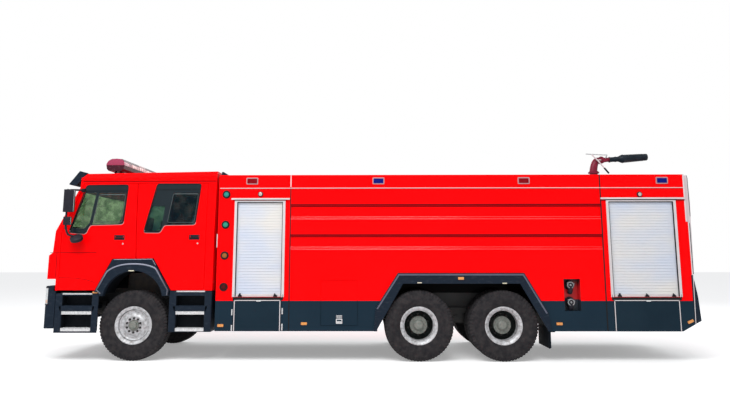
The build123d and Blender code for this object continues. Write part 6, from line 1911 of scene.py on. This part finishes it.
fork.turned(LIFT, ((0.070, 0.030), (0.072, 0.040), (0.150, 0.038), (0.157, 0.046), (0.160, 0.040)), 40, gun_axis)
for y in (-0.062, 0.046):
    fork.turned((LIFT.x, y, LIFT.z), ((0.0, 0.046), (0.002, 0.050), (0.014, 0.050), (0.016, 0.046)), 40)
    fork.plate([
        (LIFT.x + 0.010, LIFT.z - 0.032), (LIFT.x + 0.112, LIFT.z - 0.028), (LIFT.x + 0.112, LIFT.z + 0.044),
        (LIFT.x + 0.010, LIFT.z + 0.040),
    ], y + 0.001, 0.014, edge=0.003)
fork.block((LIFT.x + 0.086, LIFT.x + 0.113), (-0.060, 0.060), (LIFT.z - 0.026, LIFT.z + 0.042), 0.006)
fork.nut((LIFT.x, -0.063, LIFT.z), (0, -1, 0), 0.034, 0.016)
fork.piece("monitor_fork", "monitor_gun", "monitor_red", crimson)
tiller_white = Finish("white_tiller_paint")
tiller_white.set(
    Base_Color=tiller_white.blend(tiller_white.cloud(16, 4), (0.72, 0.52, 0.55), (0.86, 0.78, 0.78)),
    Roughness=0.35,
)
tiller = Shape()
tiller.tube([(MONITOR_X - 0.052, -0.098, 3.502), (MONITOR_X + 0.048, -0.098, 3.400), (MONITOR_X + 0.170, -0.098, 3.251)], 0.0125, 12)
tiller.tube([(MONITOR_X + 0.050, -0.098, 3.400), (LIFT.x, -0.064, LIFT.z)], 0.010, 10)
tiller.piece("monitor_tiller", "monitor_gun", "bright_rail", tiller_white)
lock_bar = Shape()
lock_bar.tube([(MONITOR_X - 0.160, -0.098, 3.515), (MONITOR_X + 0.235, -0.098, 3.493)], 0.0095, 10)
lock_bar.tube([(MONITOR_X + 0.217, -0.098, 3.512), (MONITOR_X + 0.217, -0.098, 3.478), (MONITOR_X + 0.217, -0.058, 3.438)], 0.0095, 10)
lock_bar.piece("monitor_lock_bar", "monitor_gun", "bright_rail", bright_metal)
grip = Shape()
start, end = Vector((MONITOR_X + 0.164, -0.098, 3.256)), Vector((MONITOR_X + 0.244, -0.098, 3.155))
way = (end - start).normalized()
length = (end - start).length
grip.turned(start, [(0.0, 0.012)] + [
    (length * n / 12, 0.0165 if n % 2 else 0.0145) for n in range(12)
] + [(length - 0.004, 0.017), (length, 0.012), (length, 0.0)], 20, way)
grip.piece("monitor_grip", "monitor_gun", "black_plastic", black_mould)

# Rear end. Grey painted posts carry the ladder at the left; below hangs the slate tail unit with
# its lamps, edged in white.
post_grey = Finish("grey_post_paint")
post_grey.set(
    Base_Color=post_grey.blend(post_grey.cloud(4, 5), (0.60, 0.54, 0.56), (0.74, 0.68, 0.69)),
    Roughness=post_grey.cloud(30, 3) * 0.15 + 0.35,
)
post_grey.bump(post_grey.cloud(260, 2), 0.0003)
post_grey.on("ladder")
gap_posts = Shape()
gap_posts.block((A + 1.315, A + 1.332), (-1.2440, -1.2300), (1.799, 2.015), 0.003)
for z in (1.830, 1.984):
    gap_posts.block((A + 1.330, A + 1.347), (-1.2420, -1.2320), (z - 0.012, z + 0.012), 0.002)
gap_posts.mirrored()
gap_posts.piece("gap_posts", "chassis", "bright_rail", bright_metal)
corner_posts = Shape()
corner_posts.block((A + 8.9705, A + 8.988), (-1.2450, -1.2000), (1.358, 2.205), 0.003)
corner_posts.mirrored()
corner_posts.piece("corner_posts", "chassis", "body_red", red_paint)
corner_beads = Shape()
corner_beads.block((A + 8.988, A + 9.008), (-1.2430, -1.2000), (1.358, 2.205), 0.003)
corner_beads.block((A + 8.9500, A + 8.9720), (-1.2530, -1.2490), (2.2100, 2.9840), 0.001, 1)
corner_beads.mirrored()
corner_beads.piece("corner_beads", "chassis", "bright_rail", post_grey)
post_edges = Shape()
post_edges.block((A + 9.009, A + 9.024), (-1.2300, -1.2050), (1.370, 2.190))
post_edges.plate([
    (A + 9.052, 2.300), (A + 9.060, 2.300), (A + 9.058, 2.930), (A + 9.047, 2.975), (A + 9.042, 2.970), (A + 9.050, 2.925),
], -1.1975, 0.003)
post_edges.piece("post_edge_rubbers", "chassis", "black_plastic", seal_rubber)
tail_lines = Shape()
tail_lines.plate([
    (A + 9.005, 1.352), (A + 9.016, 1.352), (A + 8.999, 0.566), (A + 8.988, 0.560)
], -1.2375, 0.003)
tail_lines.mirrored()
tail_lines.piece("tail_edge_lines", "chassis", "bright_rail", rail_finish)
ladder_grips = Shape()
for number in range(5):
    height_now = 1.480 + number * 0.280
    ladder_grips.tube([(A + 9.028, -1.164, height_now), (A + 9.028, -0.756, height_now)], 0.0165, 14)
ladder_grips.piece("ladder_rung_sleeves", "chassis", "black_plastic", black_mould)
back_rails = Shape()
back_rails.band(
    [(-0.660, 1.392), (0.660, 1.392), (0.660, 2.590), (-0.660, 2.590)],
    [(-0.618, 1.424), (0.618, 1.424), (0.618, 2.556), (-0.618, 2.556)], A + 8.9695, 0.0125, "X",
)
back_rails.block((A + 8.9695, A + 9.000), (-0.700, 0.700), (2.6000, 2.6120), 0.003)
back_rails.block((A + 8.9550, A + 8.9640), (-0.600, 0.600), (1.4270, 1.4700), 0.004)
back_rails.tube([(A + 8.966, -0.600, 1.459), (A + 8.966, 0.600, 1.459)], 0.0045, 8)
back_rails.piece("back_curtain_rails", "chassis", "bright_rail", rail_finish)
back_seals = Shape()
for y in (-0.617, 0.602):
    back_seals.block((A + 8.950, A + 8.9725), (y, y + 0.015), (1.426, 2.552))
back_seals.block((A + 8.950, A + 8.9730), (-0.617, 0.617), (2.5450, 2.5560))
for y in (-0.46, 0.0, 0.46):
    back_seals.plate([
        (y - 0.034, 1.424), (y + 0.034, 1.424), (y + 0.030, 1.442), (y + 0.012, 1.460), (y + 0.012, 1.482),
        (y - 0.012, 1.482), (y - 0.012, 1.460), (y - 0.030, 1.442),
    ], A + 8.962, 0.012, "X", 0.003)
back_seals.piece("back_curtain_fittings", "chassis", "black_plastic", seal_rubber)
rear_plate = Shape()
rear_plate.faces([
    [(A + 8.970 + 0.122 + out - (z - 0.602) * 0.0717, y, z) for y, z in
     rounded([(-0.220, 0.880), (0.220, 0.880), (0.220, 1.020), (-0.220, 1.020)], 0.012, 3)]
    for out in (-0.003, 0.003)
])
rear_plate.piece("number_plate_rear", "chassis", "bright_rail", white_plate)
